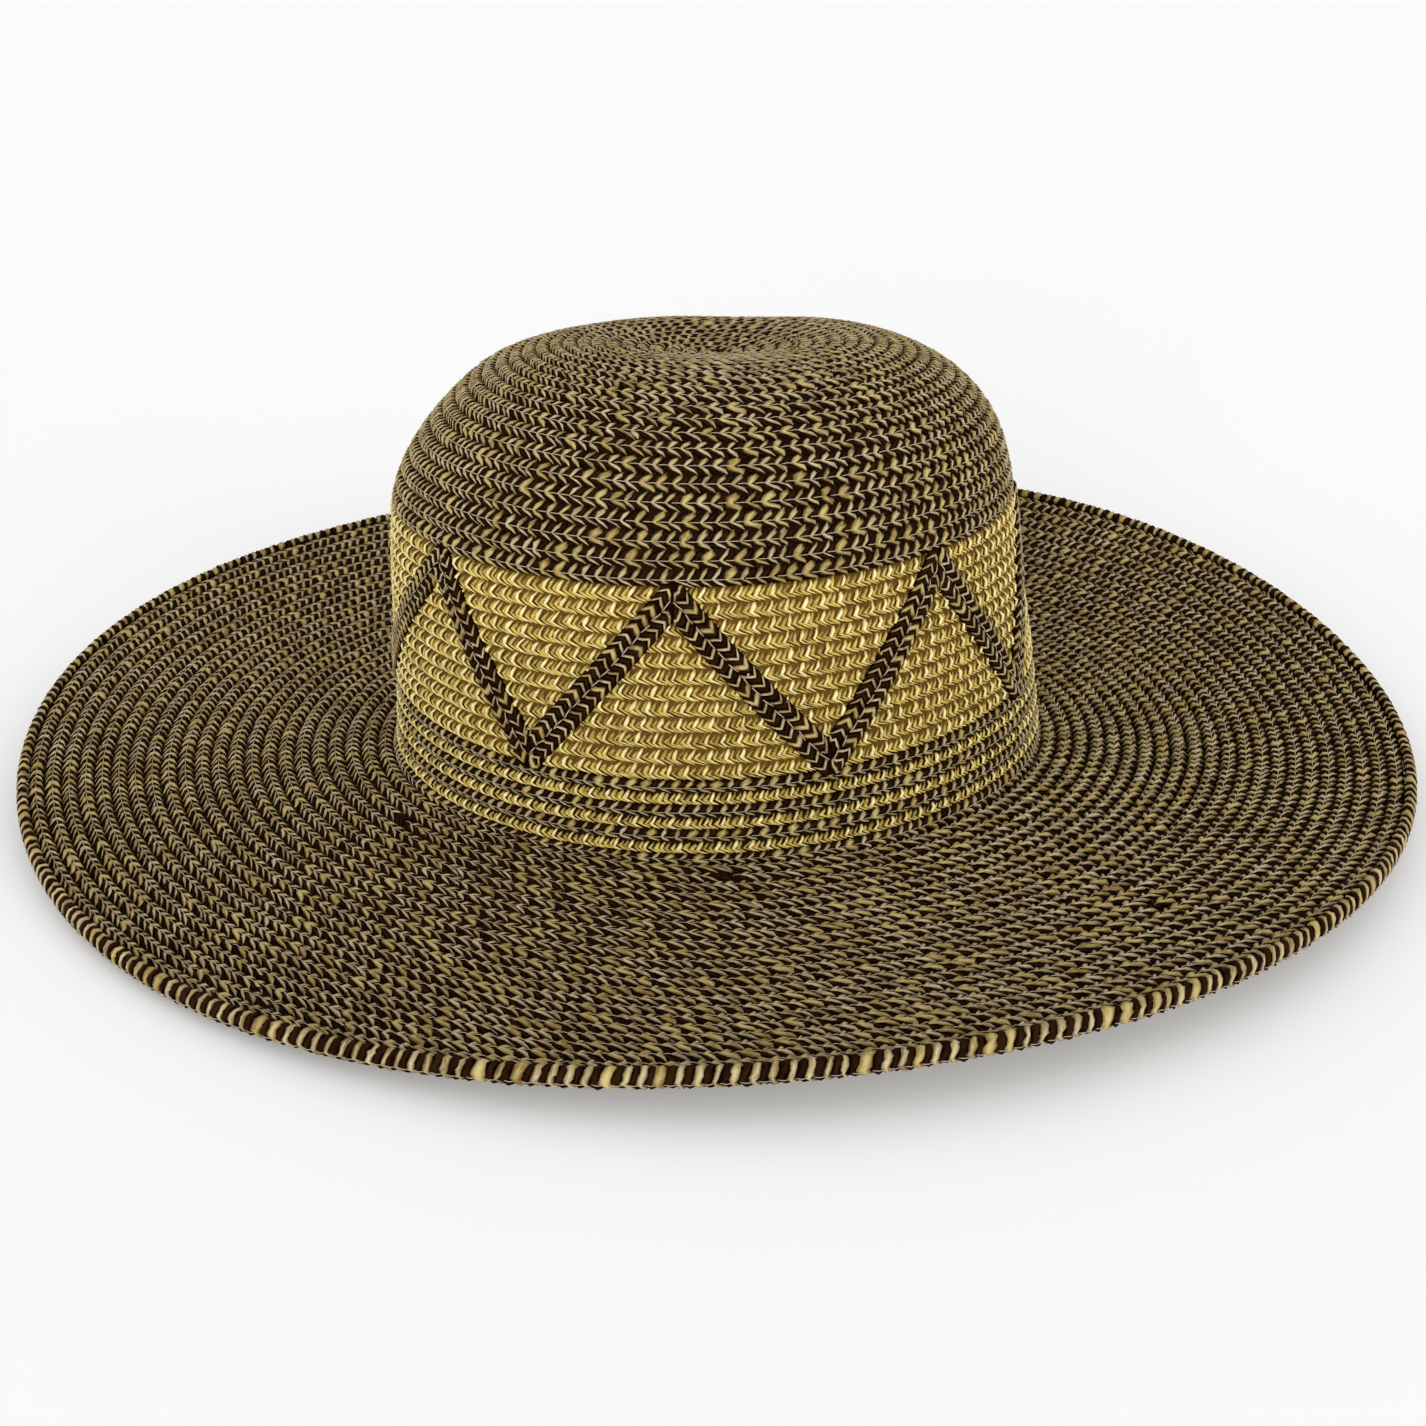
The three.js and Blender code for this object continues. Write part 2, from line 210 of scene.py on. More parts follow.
def smoothstep(value, low, high):
    """Smooth change from 0 at low to 1 at high: 3 t squared less 2 t cubed."""
    part = np.clip((value - low) / (high - low), 0, 1)
    return part * part * (3 - 2 * part)


def wave_sum(waves, angle):
    """Sum over a table's waves of cosine share times cos(turns angle) and sine share times sin(turns angle)."""
    total = np.zeros_like(angle)
    for turns, along, across in waves:
        total += along * np.cos(turns * angle) + across * np.sin(turns * angle)
    return total


class Profile:
    """A line of across and up, known by its arc length, with its normal a quarter turn left of its way."""

    def __init__(self, across, up):
        apart = np.concatenate(([True], np.hypot(np.diff(across), np.diff(up)) > 1e-8))
        self.across = across[apart]
        self.up = up[apart]
        steps = np.hypot(np.diff(self.across), np.diff(self.up))
        self.along = np.concatenate(([0.0], np.cumsum(steps)))
        way_across = np.gradient(self.across, self.along)
        way_up = np.gradient(self.up, self.along)
        size = np.hypot(way_across, way_up)
        self.out_across = -way_up / size
        self.out_up = way_across / size
        self.length = self.along[-1]

    def radius(self, along):
        """Distance from the axis at an arc length."""
        return np.interp(along, self.along, self.across)

    def point(self, along, proud):
        """Across and up at an arc length, moved along the normal by proud."""
        across = np.interp(along, self.along, self.across) + proud * np.interp(along, self.along, self.out_across)
        up = np.interp(along, self.along, self.up) + proud * np.interp(along, self.along, self.out_up)
        return across, up


class HatForm:
    """The hat's outer surface: an even profile turned round +Z, then warped to the oval, leaning, waved hat."""

    def __init__(self, sizes):
        self.s = s = sizes
        self.base = (s.crown_length + s.crown_breadth) / 4
        self.rim = (s.brim_length + s.brim_breadth) / 4
        self.shoulder = self.base * s.shoulder_taper
        self.joint = self.base * s.foot_flare
        self.stripes_height = (len(STRIPES) - 1) * s.stripe_width
        self.side_slope = (self.base - self.shoulder) / s.band_height
        self.foot_slope = 2 * (self.joint - self.base) / self.stripes_height - self.side_slope
        foot_lean = math.atan(self.foot_slope)
        self.joint_height = s.wall + s.joint_fillet * (1 - math.sin(foot_lean))
        fillet_centre = self.joint + s.joint_fillet * math.cos(foot_lean)
        self.band_foot = self.joint_height + self.stripes_height
        self.band_top = self.band_foot + s.band_height
        self.tip_height = self.band_top + s.dome_rise
        self.flat_end = fillet_centre + s.flat_width

        t = np.linspace(0, 1, FINE)
        turn = t * math.pi / 2
        power = 2 / s.dome_fullness
        rise = s.dome_rise * np.clip(np.cos(turn), 0, 1) ** power
        dome = ((self.shoulder - self.side_slope * rise) * np.sin(turn) ** power, self.band_top + rise)
        band = (lerp(self.shoulder, self.base, t), lerp(self.band_top, self.band_foot, t))
        bend = (self.foot_slope - self.side_slope) * t * t / 2
        stripes = (self.base + self.stripes_height * (self.side_slope * t + bend),
                   self.band_foot - self.stripes_height * t)
        arc = lerp(math.pi + foot_lean, 1.5 * math.pi, t)
        fillet = (fillet_centre + s.joint_fillet * np.cos(arc),
                  s.wall + s.joint_fillet + s.joint_fillet * np.sin(arc))
        flat = (lerp(fillet_centre, self.flat_end, t), np.full(FINE, s.wall))
        dish = (lerp(self.flat_end, self.rim, t), s.wall + s.rim_rise * t ** s.dish_curve)
        pieces = (dome, band, stripes, fillet, flat, dish)
        lengths = [float(np.hypot(np.diff(a), np.diff(u)).sum()) for a, u in pieces]
        self.outer = Profile(np.concatenate([p[0] for p in pieces]), np.concatenate([p[1] for p in pieces]))
        self.dome_end = lengths[0]
        self.band_end = self.dome_end + lengths[1]
        self.stripes_end = self.band_end + lengths[2] + s.stripe_on_fillet * lengths[3]
        self.brim_end = self.outer.length - s.edge_width - 2 * s.row_gap

        section = np.radians(np.linspace(165, -110, FINE))
        self.edge_centre = (self.rim - s.edge_width / 2, s.wall / 2 + s.rim_rise)
        self.edge = Profile(self.edge_centre[0] + s.edge_width / 2 * np.cos(section),
                            self.edge_centre[1] + s.edge_height / 2 * np.sin(section))
        self.tape_radius = (self.shoulder + self.base) / 2
        self.lay_zigzag()

    def lean(self, height):
        """Sideways place of the wall's middle: foot to shoulder up the side, shoulder to tip up the dome."""
        up_side = smoothstep(height, self.joint_height, self.band_top)[..., None]
        up_dome = smoothstep(height, self.band_top, self.tip_height)[..., None]
        foot, shoulder, tip = LEAN * self.s.crown_length
        return foot + (shoulder - foot) * up_side + (tip - shoulder) * up_dome

    def warp(self, radius, angle, height):
        """Place on the hat of a point of the round, even hat: swell, oval, lean, waves, tilt, hollow and dents."""
        s = self.s
        to_rim = np.clip((radius - self.joint) / (self.rim - self.joint), 0, 1)
        past_flat = np.clip((radius - self.flat_end) / (self.rim - self.flat_end), 0, None)
        dome = np.clip((height - self.band_top) / s.dome_rise, 0, 1)
        dome_turn = np.arcsin(dome ** (s.dome_fullness / 2))
        swell = 1 + np.sin(2 * dome_turn) * wave_sum(SHOULDER_SWELL, angle)
        reach = radius * swell + to_rim ** 2 * wave_sum(OUTLINE_WAVES, angle) * s.brim_length / 2
        oval_length = lerp(s.crown_length / self.base, s.brim_length / self.rim, to_rim) / 2
        oval_breadth = lerp(s.crown_breadth / self.base, s.brim_breadth / self.rim, to_rim) / 2
        lean = self.lean(height) * (1 - to_rim)[..., None]
        x = reach * oval_length * np.cos(angle) + lean[..., 0]
        y = reach * oval_breadth * np.sin(angle) + lean[..., 1]
        foot_share = smoothstep(height, s.wall, self.joint_height)
        foot_share = foot_share * (1 - smoothstep(height, self.joint_height, self.tip_height))
        z = height + foot_share * s.stripe_width * wave_sum(FOOT_WAVES, angle)
        z = z + s.rim_rise * past_flat ** s.dish_curve * wave_sum(RIM_WAVES, angle)
        z = z - dome * s.dome_tilt * y
        z = z - dome * s.tip_hollow_depth * np.exp(-(radius / s.tip_hollow_reach) ** 2)
        return self.dent(np.stack((x, y, z), axis=-1))

    def dent(self, points):
        """Adds each dent's push towards the crown's heart: depth times exp of less distance over reach squared."""
        s = self.s
        heart = np.array([0, 0, self.band_top])
        push = np.zeros_like(points)
        for towards, height, reach, depth in DENTS:
            turn = math.radians(towards)
            up = np.clip((height * s.crown_length - self.band_top) / s.dome_rise, 0, 1)
            radius = self.shoulder * (1 - up ** s.dome_fullness) ** (1 / s.dome_fullness)
            centre = np.array([math.cos(turn) * radius * s.crown_length / (2 * self.base),
                               math.sin(turn) * radius * s.crown_breadth / (2 * self.base),
                               height * s.crown_length])
            inward = (heart - centre) / np.linalg.norm(heart - centre)
            apart = ((points - centre) ** 2).sum(axis=-1)
            near = np.exp(-apart / (reach * s.crown_length) ** 2)
            push += near[..., None] * inward * depth * s.crown_length
        return points + push

    def place(self, profile, along, angle, proud):
        """Point of the hat at an arc length of a profile and an angle, standing proud of the surface."""
        radius, height = profile.point(along, proud)
        return self.warp(np.maximum(radius, 0), angle, height)

    def lay_zigzag(self):
        """Legs of the tape on the flattened crown side: start corners, directions, lengths and mitres."""
        s = self.s
        turns = np.radians(np.stack((ZIGZAG_TOPS, ZIGZAG_BOTTOMS), axis=1).ravel())
        heights = np.tile([self.band_top - s.tape_inset, self.band_foot + s.tape_inset], len(ZIGZAG_TOPS))
        self.corners = np.stack((turns * self.tape_radius, heights), axis=1)
        ends = np.roll(self.corners, -1, axis=0)
        ends[-1, 0] += 2 * math.pi * self.tape_radius
        self.leg_lengths = np.linalg.norm(ends - self.corners, axis=1)
        self.ways = (ends - self.corners) / self.leg_lengths[:, None]
        self.normals = np.stack((-self.ways[:, 1], self.ways[:, 0]), axis=1)
        both = self.normals + np.roll(self.normals, 1, axis=0)
        mitres = both * (2 / (both ** 2).sum(axis=1))[:, None]
        self.first_slopes = (mitres * self.ways).sum(axis=1)
        self.last_slopes = (np.roll(mitres, -1, axis=0) * self.ways).sum(axis=1)

    def leg_span(self, leg, across):
        """Where a leg of the tape starts and ends at a place across it: a tuck short of the mitre with its
        neighbour, or where its blunt fold is cut at the lap past the band's end."""
        s = self.s
        height = self.corners[leg, 1] + self.normals[leg, 1] * across
        rise = self.ways[leg, 1]
        upper = (self.band_top + s.tape_lap - height) / rise
        lower = (self.band_foot - s.tape_lap - height) / rise
        first = across * self.first_slopes[leg] + s.tape_tuck
        last = self.leg_lengths[leg] + across * self.last_slopes[leg] - s.tape_tuck
        return np.maximum(first, np.minimum(upper, lower)), np.minimum(last, np.maximum(upper, lower))

    def place_tape(self, leg, run, across, proud):
        """Point of the tape: run is along its leg, across is to the leg's left, proud is off the band."""
        flat = self.corners[leg] + self.ways[leg] * run[..., None] + self.normals[leg] * across[..., None]
        down = (self.band_top - flat[..., 1]) / self.s.band_height
        radius = lerp(self.shoulder, self.base, down) + proud
        return self.warp(radius, flat[..., 0] / self.tape_radius, flat[..., 1])


# Meshes from arrays


def signed_volume(points, triangles):
    """Six times the volume inside the triangles: positive where they face outwards."""
    a, b, c = (points[triangles[:, i]] for i in range(3))
    return float(np.einsum("ij,ij->i", a, np.cross(b, c)).sum())


def build_mesh(name, points, quads, triangles, material, corner_uv=None, point_uv=None, face_values=None,
               point_values=None):
    """A smooth mesh object at the origin from whole arrays, with a UV map and named attributes."""
    mesh = bpy.data.meshes.new(name)
    quads = np.asarray(quads, dtype=np.int32).reshape(-1, 4)
    triangles = np.asarray(triangles, dtype=np.int32).reshape(-1, 3)
    corners = np.concatenate((quads.ravel(), triangles.ravel()))
    totals = np.concatenate((np.full(len(quads), 4), np.full(len(triangles), 3))).astype(np.int32)
    starts = np.concatenate(([0], np.cumsum(totals)[:-1])).astype(np.int32)
    mesh.vertices.add(len(points))
    mesh.vertices.foreach_set("co", np.ascontiguousarray(points, dtype=np.float32).ravel())
    mesh.loops.add(len(corners))
    mesh.loops.foreach_set("vertex_index", corners)
    mesh.polygons.add(len(totals))
    mesh.polygons.foreach_set("loop_start", starts)
    mesh.polygons.foreach_set("loop_total", totals)
    mesh.update(calc_edges=True)
    uv = corner_uv if corner_uv is not None else point_uv[corners]
    layer = mesh.uv_layers.new(name="straw")
    layer.data.foreach_set("uv", np.ascontiguousarray(uv, dtype=np.float32).ravel())
    for key, values in (face_values or {}).items():
        attribute = mesh.attributes.new(key, "FLOAT", "FACE")
        attribute.data.foreach_set("value", np.ascontiguousarray(values, dtype=np.float32))
    for key, values in (point_values or {}).items():
        attribute = mesh.attributes.new(key, "FLOAT", "POINT")
        attribute.data.foreach_set("value", np.ascontiguousarray(values, dtype=np.float32))
    mesh.polygons.foreach_set("use_smooth", np.ones(len(totals), dtype=bool))
    mesh.materials.append(material)
    if mesh.validate():
        raise RuntimeError(f"{name} has faulty faces")
    piece = bpy.data.objects.new(name, mesh)
    bpy.context.scene.collection.objects.link(piece)
    return piece


def settle(piece, slot, *nodes):
    """Rides a piece on the hat's body and hides the nodes it stands for; the slot it is given is not used."""
    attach(piece, BODY)
    if nodes:
        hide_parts(*nodes)


# Braid walls


def row_bulge(down, height):
    """Rise of a row's middle above its seams: height times the square root of sin(pi down)."""
    return height * np.sqrt(np.clip(np.sin(math.pi * np.clip(down, 0, 1)), 0, 1))


def wall_piece(form, name, material, start, end, rows, around, bulge, from_axis=False, steps=4):
    """A closed wall along the outer profile: an outer and an inner skin with one ridge a row, joined at its ends.

    The skins are grids of arc length by angle. From the axis, both skins end in a fan at the tip.
    """
    s = form.s
    share_down = np.linspace(0, rows, rows * steps + 1)
    along = lerp(start, end, share_down / rows)
    ridge = row_bulge(share_down - np.floor(share_down), bulge)
    if from_axis:
        along, ridge, share_down = along[1:], ridge[1:], share_down[1:]
    outer = ridge - 0.45 * bulge
    inner = -s.wall + (bulge - ridge) * 0.6
    levels = len(along)
    profile_along = np.concatenate((along, along[::-1]))
    profile_proud = np.concatenate((inner, outer[::-1]))
    profile_row = np.concatenate((share_down, share_down[::-1]))
    turn = np.arange(around) / around * 2 * math.pi
    grid_along, grid_turn = np.meshgrid(profile_along, turn, indexing="ij")
    proud = np.broadcast_to(profile_proud[:, None], grid_along.shape)
    points = form.place(form.outer, grid_along, grid_turn, proud).reshape(-1, 3)

    rings = len(profile_along)
    links = rings if not from_axis else rings - 1
    ring = np.arange(links)
    ring_next = (ring + 1) % rings
    column = np.arange(around)
    column_next = (column + 1) % around
    first, second = np.meshgrid(ring, column, indexing="ij")
    first_next, second_next = np.meshgrid(ring_next, column_next, indexing="ij")
    quads = np.stack((first * around + second, first_next * around + second,
                      first_next * around + second_next, first * around + second_next), axis=-1).reshape(-1, 4)
    row_here = profile_row[first].reshape(-1)
    row_there = profile_row[first_next].reshape(-1)
    turn_here = (second / around).reshape(-1)
    turn_there = turn_here + 1 / around
    uv = np.stack((np.stack((turn_here, row_here), -1), np.stack((turn_here, row_there), -1),
                   np.stack((turn_there, row_there), -1), np.stack((turn_there, row_here), -1)), axis=1)
    corner_uv = uv.reshape(-1, 2)
    triangles = np.zeros((0, 3), dtype=int)
    if from_axis:
        tips = form.place(form.outer, np.zeros(2), np.zeros(2), np.array([inner[0], outer[0]]))
        points = np.concatenate((points, tips))
        low = rings * around
        last = (rings - 1) * around
        inner_fan = np.stack((np.full(around, low), column, column_next), axis=1)
        outer_fan = np.stack((np.full(around, low + 1), last + column_next, last + column), axis=1)
        triangles = np.concatenate((inner_fan, outer_fan))
        fan_uv = np.zeros((len(triangles) * 3, 2))
        corner_uv = np.concatenate((corner_uv, fan_uv))
    halves = np.concatenate((quads[:, [0, 1, 2]], quads[:, [0, 2, 3]], triangles))
    if signed_volume(points, halves) < 0:
        quads = quads[:, ::-1]
        corner_uv = np.concatenate((uv[:, ::-1].reshape(-1, 2), corner_uv[len(quads) * 4:]))
        triangles = triangles[:, ::-1]
    middle = (np.minimum(row_here, row_there) // 1 + 0.5) / rows
    radius = form.outer.radius(lerp(start, end, middle))
    stitches = np.round(2 * math.pi * radius / 0.0038)
    # Faces of the outer skin, which the wall material fills with the ground's painted shade.
    outside = (first >= levels).reshape(-1) * 1.0
    tail = len(triangles)
    return build_mesh(name, points, quads, triangles, material, corner_uv=corner_uv, face_values={
        "stitches": np.concatenate((stitches, np.full(tail, 3.0))),
        "outside": np.concatenate((outside, np.ones(tail))),
    })


def closed_ring(form, name, material, across, up, around):
    """A closed section turned round the hat and warped: a grid that wraps both ways."""
    turn = np.arange(around) / around * 2 * math.pi
    grid_across, grid_turn = np.meshgrid(across, turn, indexing="ij")
    grid_up = np.broadcast_to(up[:, None], grid_across.shape)
    points = form.warp(grid_across, grid_turn, grid_up).reshape(-1, 3)
    sides = len(across)
    first, second = np.meshgrid(np.arange(sides), np.arange(around), indexing="ij")
    first_next = (first + 1) % sides
    second_next = (second + 1) % around
    quads = np.stack((first * around + second, first_next * around + second,
                      first_next * around + second_next, first * around + second_next), axis=-1).reshape(-1, 4)
    halves = np.concatenate((quads[:, [0, 1, 2]], quads[:, [0, 2, 3]]))
    if signed_volume(points, halves) < 0:
        quads = quads[:, ::-1]
    uv = np.stack((grid_turn.ravel(), np.repeat(np.arange(sides) / sides, around)), axis=1)
    return build_mesh(name, points, quads, [], material, point_uv=uv,
                      point_values={"shade": np.zeros(len(points))})


# Strands

# The three points across a strand, and how far its sides are sunk below its ridge
SIDES = np.array([-1.0, 0.0, 1.0])
SINK = 0.00042

# Stations down a strand of two-tone braid: how far down its row, how far along it in row heights, how proud
# of the wall and how broad; the strand comes down slanting back to a bend and goes on slanting forward
DARK_STRAND = np.array([
    [-0.02, 0.40, -0.00015, 0.80],
    [0.28, 0.22, 0.00032, 1.05],
    [0.60, 0.00, 0.00022, 0.95],
    [0.80, 0.36, 0.00034, 1.05],
    [1.02, 0.74, -0.00020, 0.60],
])
TAN_STRAND = np.array([
    [0.00, 0.40, -0.00010, 0.55],
    [0.28, 0.22, 0.00060, 1.18],
    [0.60, 0.00, 0.00042, 0.85],
    [0.80, 0.36, 0.00066, 1.30],
    [1.05, 0.76, -0.00005, 0.30],
])
BRIM_DARK_STRAND = np.array([
    [-0.02, 0.34, -0.00015, 0.80],
    [0.24, 0.18, 0.00032, 1.05],
    [0.52, 0.00, 0.00024, 0.95],
    [0.76, 0.38, 0.00034, 1.05],
    [1.02, 0.80, -0.00020, 0.70],
])
BRIM_TAN_STRAND = np.array([
    [0.02, 0.34, -0.00010, 0.60],
    [0.24, 0.18, 0.00058, 1.10],
    [0.52, 0.00, 0.00045, 1.00],
    [0.72, 0.36, 0.00068, 1.32],
    [0.97, 0.80, -0.00005, 0.25],
])
CREAM_STRAND = np.array([
    [0.04, 0.27, 0.00000, 0.75],
    [0.28, 0.16, 0.00095, 1.00],
    [0.60, 0.00, 0.00070, 1.00],
    [0.78, 0.24, 0.00075, 0.95],
    [1.00, 0.62, 0.00015, 0.45],
])
OCHRE_STRAND = np.array([
    [0.00, 0.36, -0.00030, 0.70],
    [0.28, 0.20, 0.00005, 0.90],
    [0.58, 0.00, 0.00020, 0.90],
    [0.80, 0.34, 0.00045, 1.05],
    [1.02, 0.70, -0.00010, 0.50],
])
EDGE_STRAND = np.array([
    [0.00, 0.16, 0.00000, 0.70],
    [0.10, 0.15, 0.00035, 0.90],
    [0.20, 0.13, 0.00048, 1.00],
    [0.31, 0.11, 0.00052, 1.00],
    [0.43, 0.08, 0.00052, 1.00],
    [0.55, 0.04, 0.00046, 0.95],
    [0.67, 0.00, 0.00028, 0.90],
    [0.80, 0.10, 0.00032, 0.80],
    [0.92, 0.20, 0.00005, 0.50],
])


# Stations of a strand of the tape: share of the half width from the middle, how far forward along the
# tape, how proud and how broad
TAPE_DARK = np.array([
    [1.00, -0.00060, -0.00030, 0.85],
    [0.80, 0.00070, 0.00030, 1.00],
    [0.60, 0.00170, 0.00032, 1.00],
    [0.30, 0.00080, 0.00030, 1.00],
    [0.02, 0.00000, 0.00005, 0.90],
])
TAPE_LIGHT = np.array([
    [0.99, -0.00055, -0.00010, 0.85],
    [0.79, 0.00075, 0.00055, 1.00],
    [0.60, 0.00175, 0.00055, 1.00],
    [0.30, 0.00080, 0.00052, 1.00],
    [0.02, 0.00000, 0.00025, 0.90],
])


def strip_faces(count, stations):
    """Faces of closed three-sided strips: three quads between neighbouring stations and a triangle at each end."""
    station = np.arange(stations - 1)[:, None]
    side = np.arange(3)[None, :]
    side_next = (side + 1) % 3
    quads = np.stack((station * 3 + side, station * 3 + side_next, (station + 1) * 3 + side_next,
                      (station + 1) * 3 + side), axis=-1).reshape(-1, 4)
    last = (stations - 1) * 3
    triangles = np.array([[0, 2, 1], [last, last + 1, last + 2]])
    base = (np.arange(count) * stations * 3)[:, None, None]
    return (base + quads[None]).reshape(-1, 4), (base + triangles[None]).reshape(-1, 3)


def strips(name, points, shade, material):
    """One mesh of closed strips from points by strip, station, side (left, ridge, right) and axis."""
    count, stations = points.shape[:2]
    quads, triangles = strip_faces(count, stations)
    flat = points.reshape(-1, 3)
    halves = np.concatenate((quads[:, [0, 1, 2]], quads[:, [0, 2, 3]], triangles))
    centre = flat.mean(axis=0)
    if signed_volume(flat - centre, halves) < 0:
        quads = quads[:, ::-1]
        triangles = triangles[:, ::-1]
    across = np.broadcast_to(np.array([0.0, 0.5, 1.0]), (count, stations, 3))
    down = np.broadcast_to(np.linspace(0, 1, stations)[None, :, None], (count, stations, 3))
    uv = np.stack((across, down), axis=-1).reshape(-1, 2)
    return build_mesh(name, flat, quads, triangles, material, point_uv=uv,
                      point_values={"shade": np.repeat(shade, stations * 3)})


def row_strands(form, profile, lay, shape, bulge, rng):
    """Points of bent strands: each station is a line along its row, raised at its middle and sunk at its sides.

    Along the row, a station stands at its run times the row's height; its ends are half its breadth away.
    """
    angle, top, tall, breadth = lay
    down, run, proud, spread = shape.T
    count, stations = len(angle), len(down)
    loose = rng.normal(0, 1, (count, 1))
    wander = rng.normal(0, 1, (count, stations))
    depth = down[None] + 0.025 * wander
    along = top[:, None] + tall[:, None] * depth
    offset = run[None] * tall[:, None] * (1 + 0.16 * loose) + 0.00008 * rng.normal(0, 1, (count, stations))
    half = breadth[:, None] * spread[None] / 2 * (1 + 0.15 * rng.normal(0, 1, (count, stations)))
    lift = row_bulge(down, bulge)[None] + proud[None] + 0.00007 * rng.normal(0, 1, (count, stations))
    lift = np.broadcast_to(lift, (count, stations))
    radius = np.maximum(profile.radius(along), 0.002)
    turn = angle[:, None, None] + (offset[..., None] + half[..., None] * SIDES) / radius[..., None]
    proud_all = lift[..., None] - SINK * np.abs(SIDES)
    along_all = np.broadcast_to(along[..., None], turn.shape)
    return form.place(profile, along_all, turn, proud_all)


def sequence(total, widths, rng, jitter=0.20):
    """Widths and middles of strands side by side that fill a total length; widths is a function of a count."""
    guess = widths(400)[0].mean()
    count = max(int(round(total / guess)), 4)
    breadth, kind = widths(count)
    breadth = breadth * (1 + jitter * rng.uniform(-1, 1, len(breadth)))
    breadth = breadth * total / breadth.sum()
    middle = np.cumsum(breadth) - breadth / 2
    return breadth, kind, middle


def spiral_lay(profile, start, end, rows, widths, rng):
    """Strands along one spiral of braid from start to end, whose first and last turns are wedges.

    Row top = start + pitch times turns, where turns run from less one to the number of rows.
    """
    turns = np.linspace(-1, rows, FINE * 4)
    pitch = (end - start) / rows
    middle = np.clip(start + pitch * (turns + 0.5), start, end)
    steps = np.diff(turns) * 2 * math.pi * profile.radius(middle)[1:]
    gone = np.concatenate(([0.0], np.cumsum(steps)))
    breadth, kind, place = sequence(gone[-1], widths, rng)
    turn = np.interp(place, gone, turns)
    top = np.clip(start + pitch * turn, start, end)
    tall = np.clip(start + pitch * (turn + 1), start, end) - top
    keep = tall > 0.12 * pitch
    angle = BACK + 2 * math.pi * turn
    return (angle[keep], top[keep], tall[keep], breadth[keep]), kind[keep]


def ring_lay(profile, tops, tall, widths, rng):
    """Strands in closed rows, each row filled exactly."""
    parts = []
    for top in tops:
        radius = float(profile.radius(top + tall / 2))
        breadth, kind, place = sequence(2 * math.pi * radius, widths, rng)
        angle = place / radius + rng.uniform(0, 2 * math.pi)
        parts.append((angle, np.full(len(place), top), np.full(len(place), tall), breadth, kind))
    angle, top, height, breadth, kind = (np.concatenate(part) for part in zip(*parts))
    return (angle, top, height, breadth), kind


def knotted(form, profile, lay, kind):
    """Kinds of strands with those dark whose middle lies within a knot's reach of the knot."""
    angle, top, tall, _ = lay
    radius = profile.radius(top + tall / 2)
    for turn, out, reach in KNOTS:
        across = radius * np.cos(angle) - out * form.s.brim_length * math.cos(math.radians(turn))
        along = radius * np.sin(angle) - out * form.s.brim_length * math.sin(math.radians(turn))
        kind = np.where(np.hypot(across, along) < reach * form.s.brim_length, 0, kind)
    return kind


def pick(lay, mask):
    """The strands of a lay that a mask keeps."""
    return tuple(values[mask] for values in lay)


def two_tone(braid, rng, tan_scale=1.0):
    """Widths and kinds of two-tone strands by turns: dark (0), then tan (1) or now and then gold (2)."""
    def widths(count):
        count += count % 2
        light = np.arange(count) % 2
        gold = light * (rng.uniform(0, 1, count) < braid.gold_share)
        kind = light + gold
        table = np.array([braid.dark_strand, braid.tan_strand * tan_scale, braid.gold_strand * tan_scale])
        return table[kind], kind
    return widths


def plain(braid):
    """Widths and kinds of plain strands: one cream post (0), then two dull strands (1)."""
    def widths(count):
        count += -count % 3
        kind = (np.arange(count) % 3 > 0) * 1
        return np.array([braid.cream_strand, braid.ochre_strand])[kind], kind
    return widths


def sewing_dashes(form, profile, lay, bulge, thread, reach, down=0.60):
    """Short stitches of thread that start at a light strand's bend and run back along the row over the next."""
    angle, top, tall, breadth = lay
    count = len(angle)
    along = np.repeat((top + tall * down)[:, None], 3, axis=1)
    run = np.array([0.0, -0.4, -0.8]) * reach
    lift = row_bulge(np.full(3, down), bulge) + np.array([0.00030, 0.00060, 0.00020])
    radius = np.maximum(profile.radius(along), 0.002)
    turn = angle[:, None, None] + np.broadcast_to(run[None, :, None], (count, 3, 3)) / radius[..., None]
    along_all = along[..., None] + SIDES * thread / 2
    lift_all = np.broadcast_to(lift[None, :, None] - np.abs(SIDES) * thread / 2, (count, 3, 3))
    return form.place(profile, along_all, turn, lift_all)


# Materials


def node(tree, kind, inputs=None, **settings):
    """A shader node with its settings, its inputs set or linked by name or number."""
    made = tree.nodes.new(kind)
    for key, value in settings.items():
        setattr(made, key, value)
    for key, value in (inputs or {}).items():
        if isinstance(value, bpy.types.NodeSocket):
            tree.links.new(value, made.inputs[key])
        else:
            made.inputs[key].default_value = value
    return made


def maths(tree, operation, first, second=0.0, third=0.0, clamp=False):
    """Output of a Math node."""
    return node(tree, "ShaderNodeMath", {0: first, 1: second, 2: third}, operation=operation,
                use_clamp=clamp).outputs[0]


def mix_colour(tree, part, first, second):
    """Output of a colour Mix node."""
    made = node(tree, "ShaderNodeMix", {0: part, 6: first, 7: second}, data_type="RGBA")
    return made.outputs[2]


def group(name, inputs, outputs):
    """An empty node group with named sockets, and its input and output nodes."""
    tree = bpy.data.node_groups.new(name, "ShaderNodeTree")
    for label, kind, default in inputs:
        socket = tree.interface.new_socket(label, in_out="INPUT", socket_type=kind)
        socket.default_value = default
    for label, kind in outputs:
        tree.interface.new_socket(label, in_out="OUTPUT", socket_type=kind)
    return tree, tree.nodes.new("NodeGroupInput"), tree.nodes.new("NodeGroupOutput")


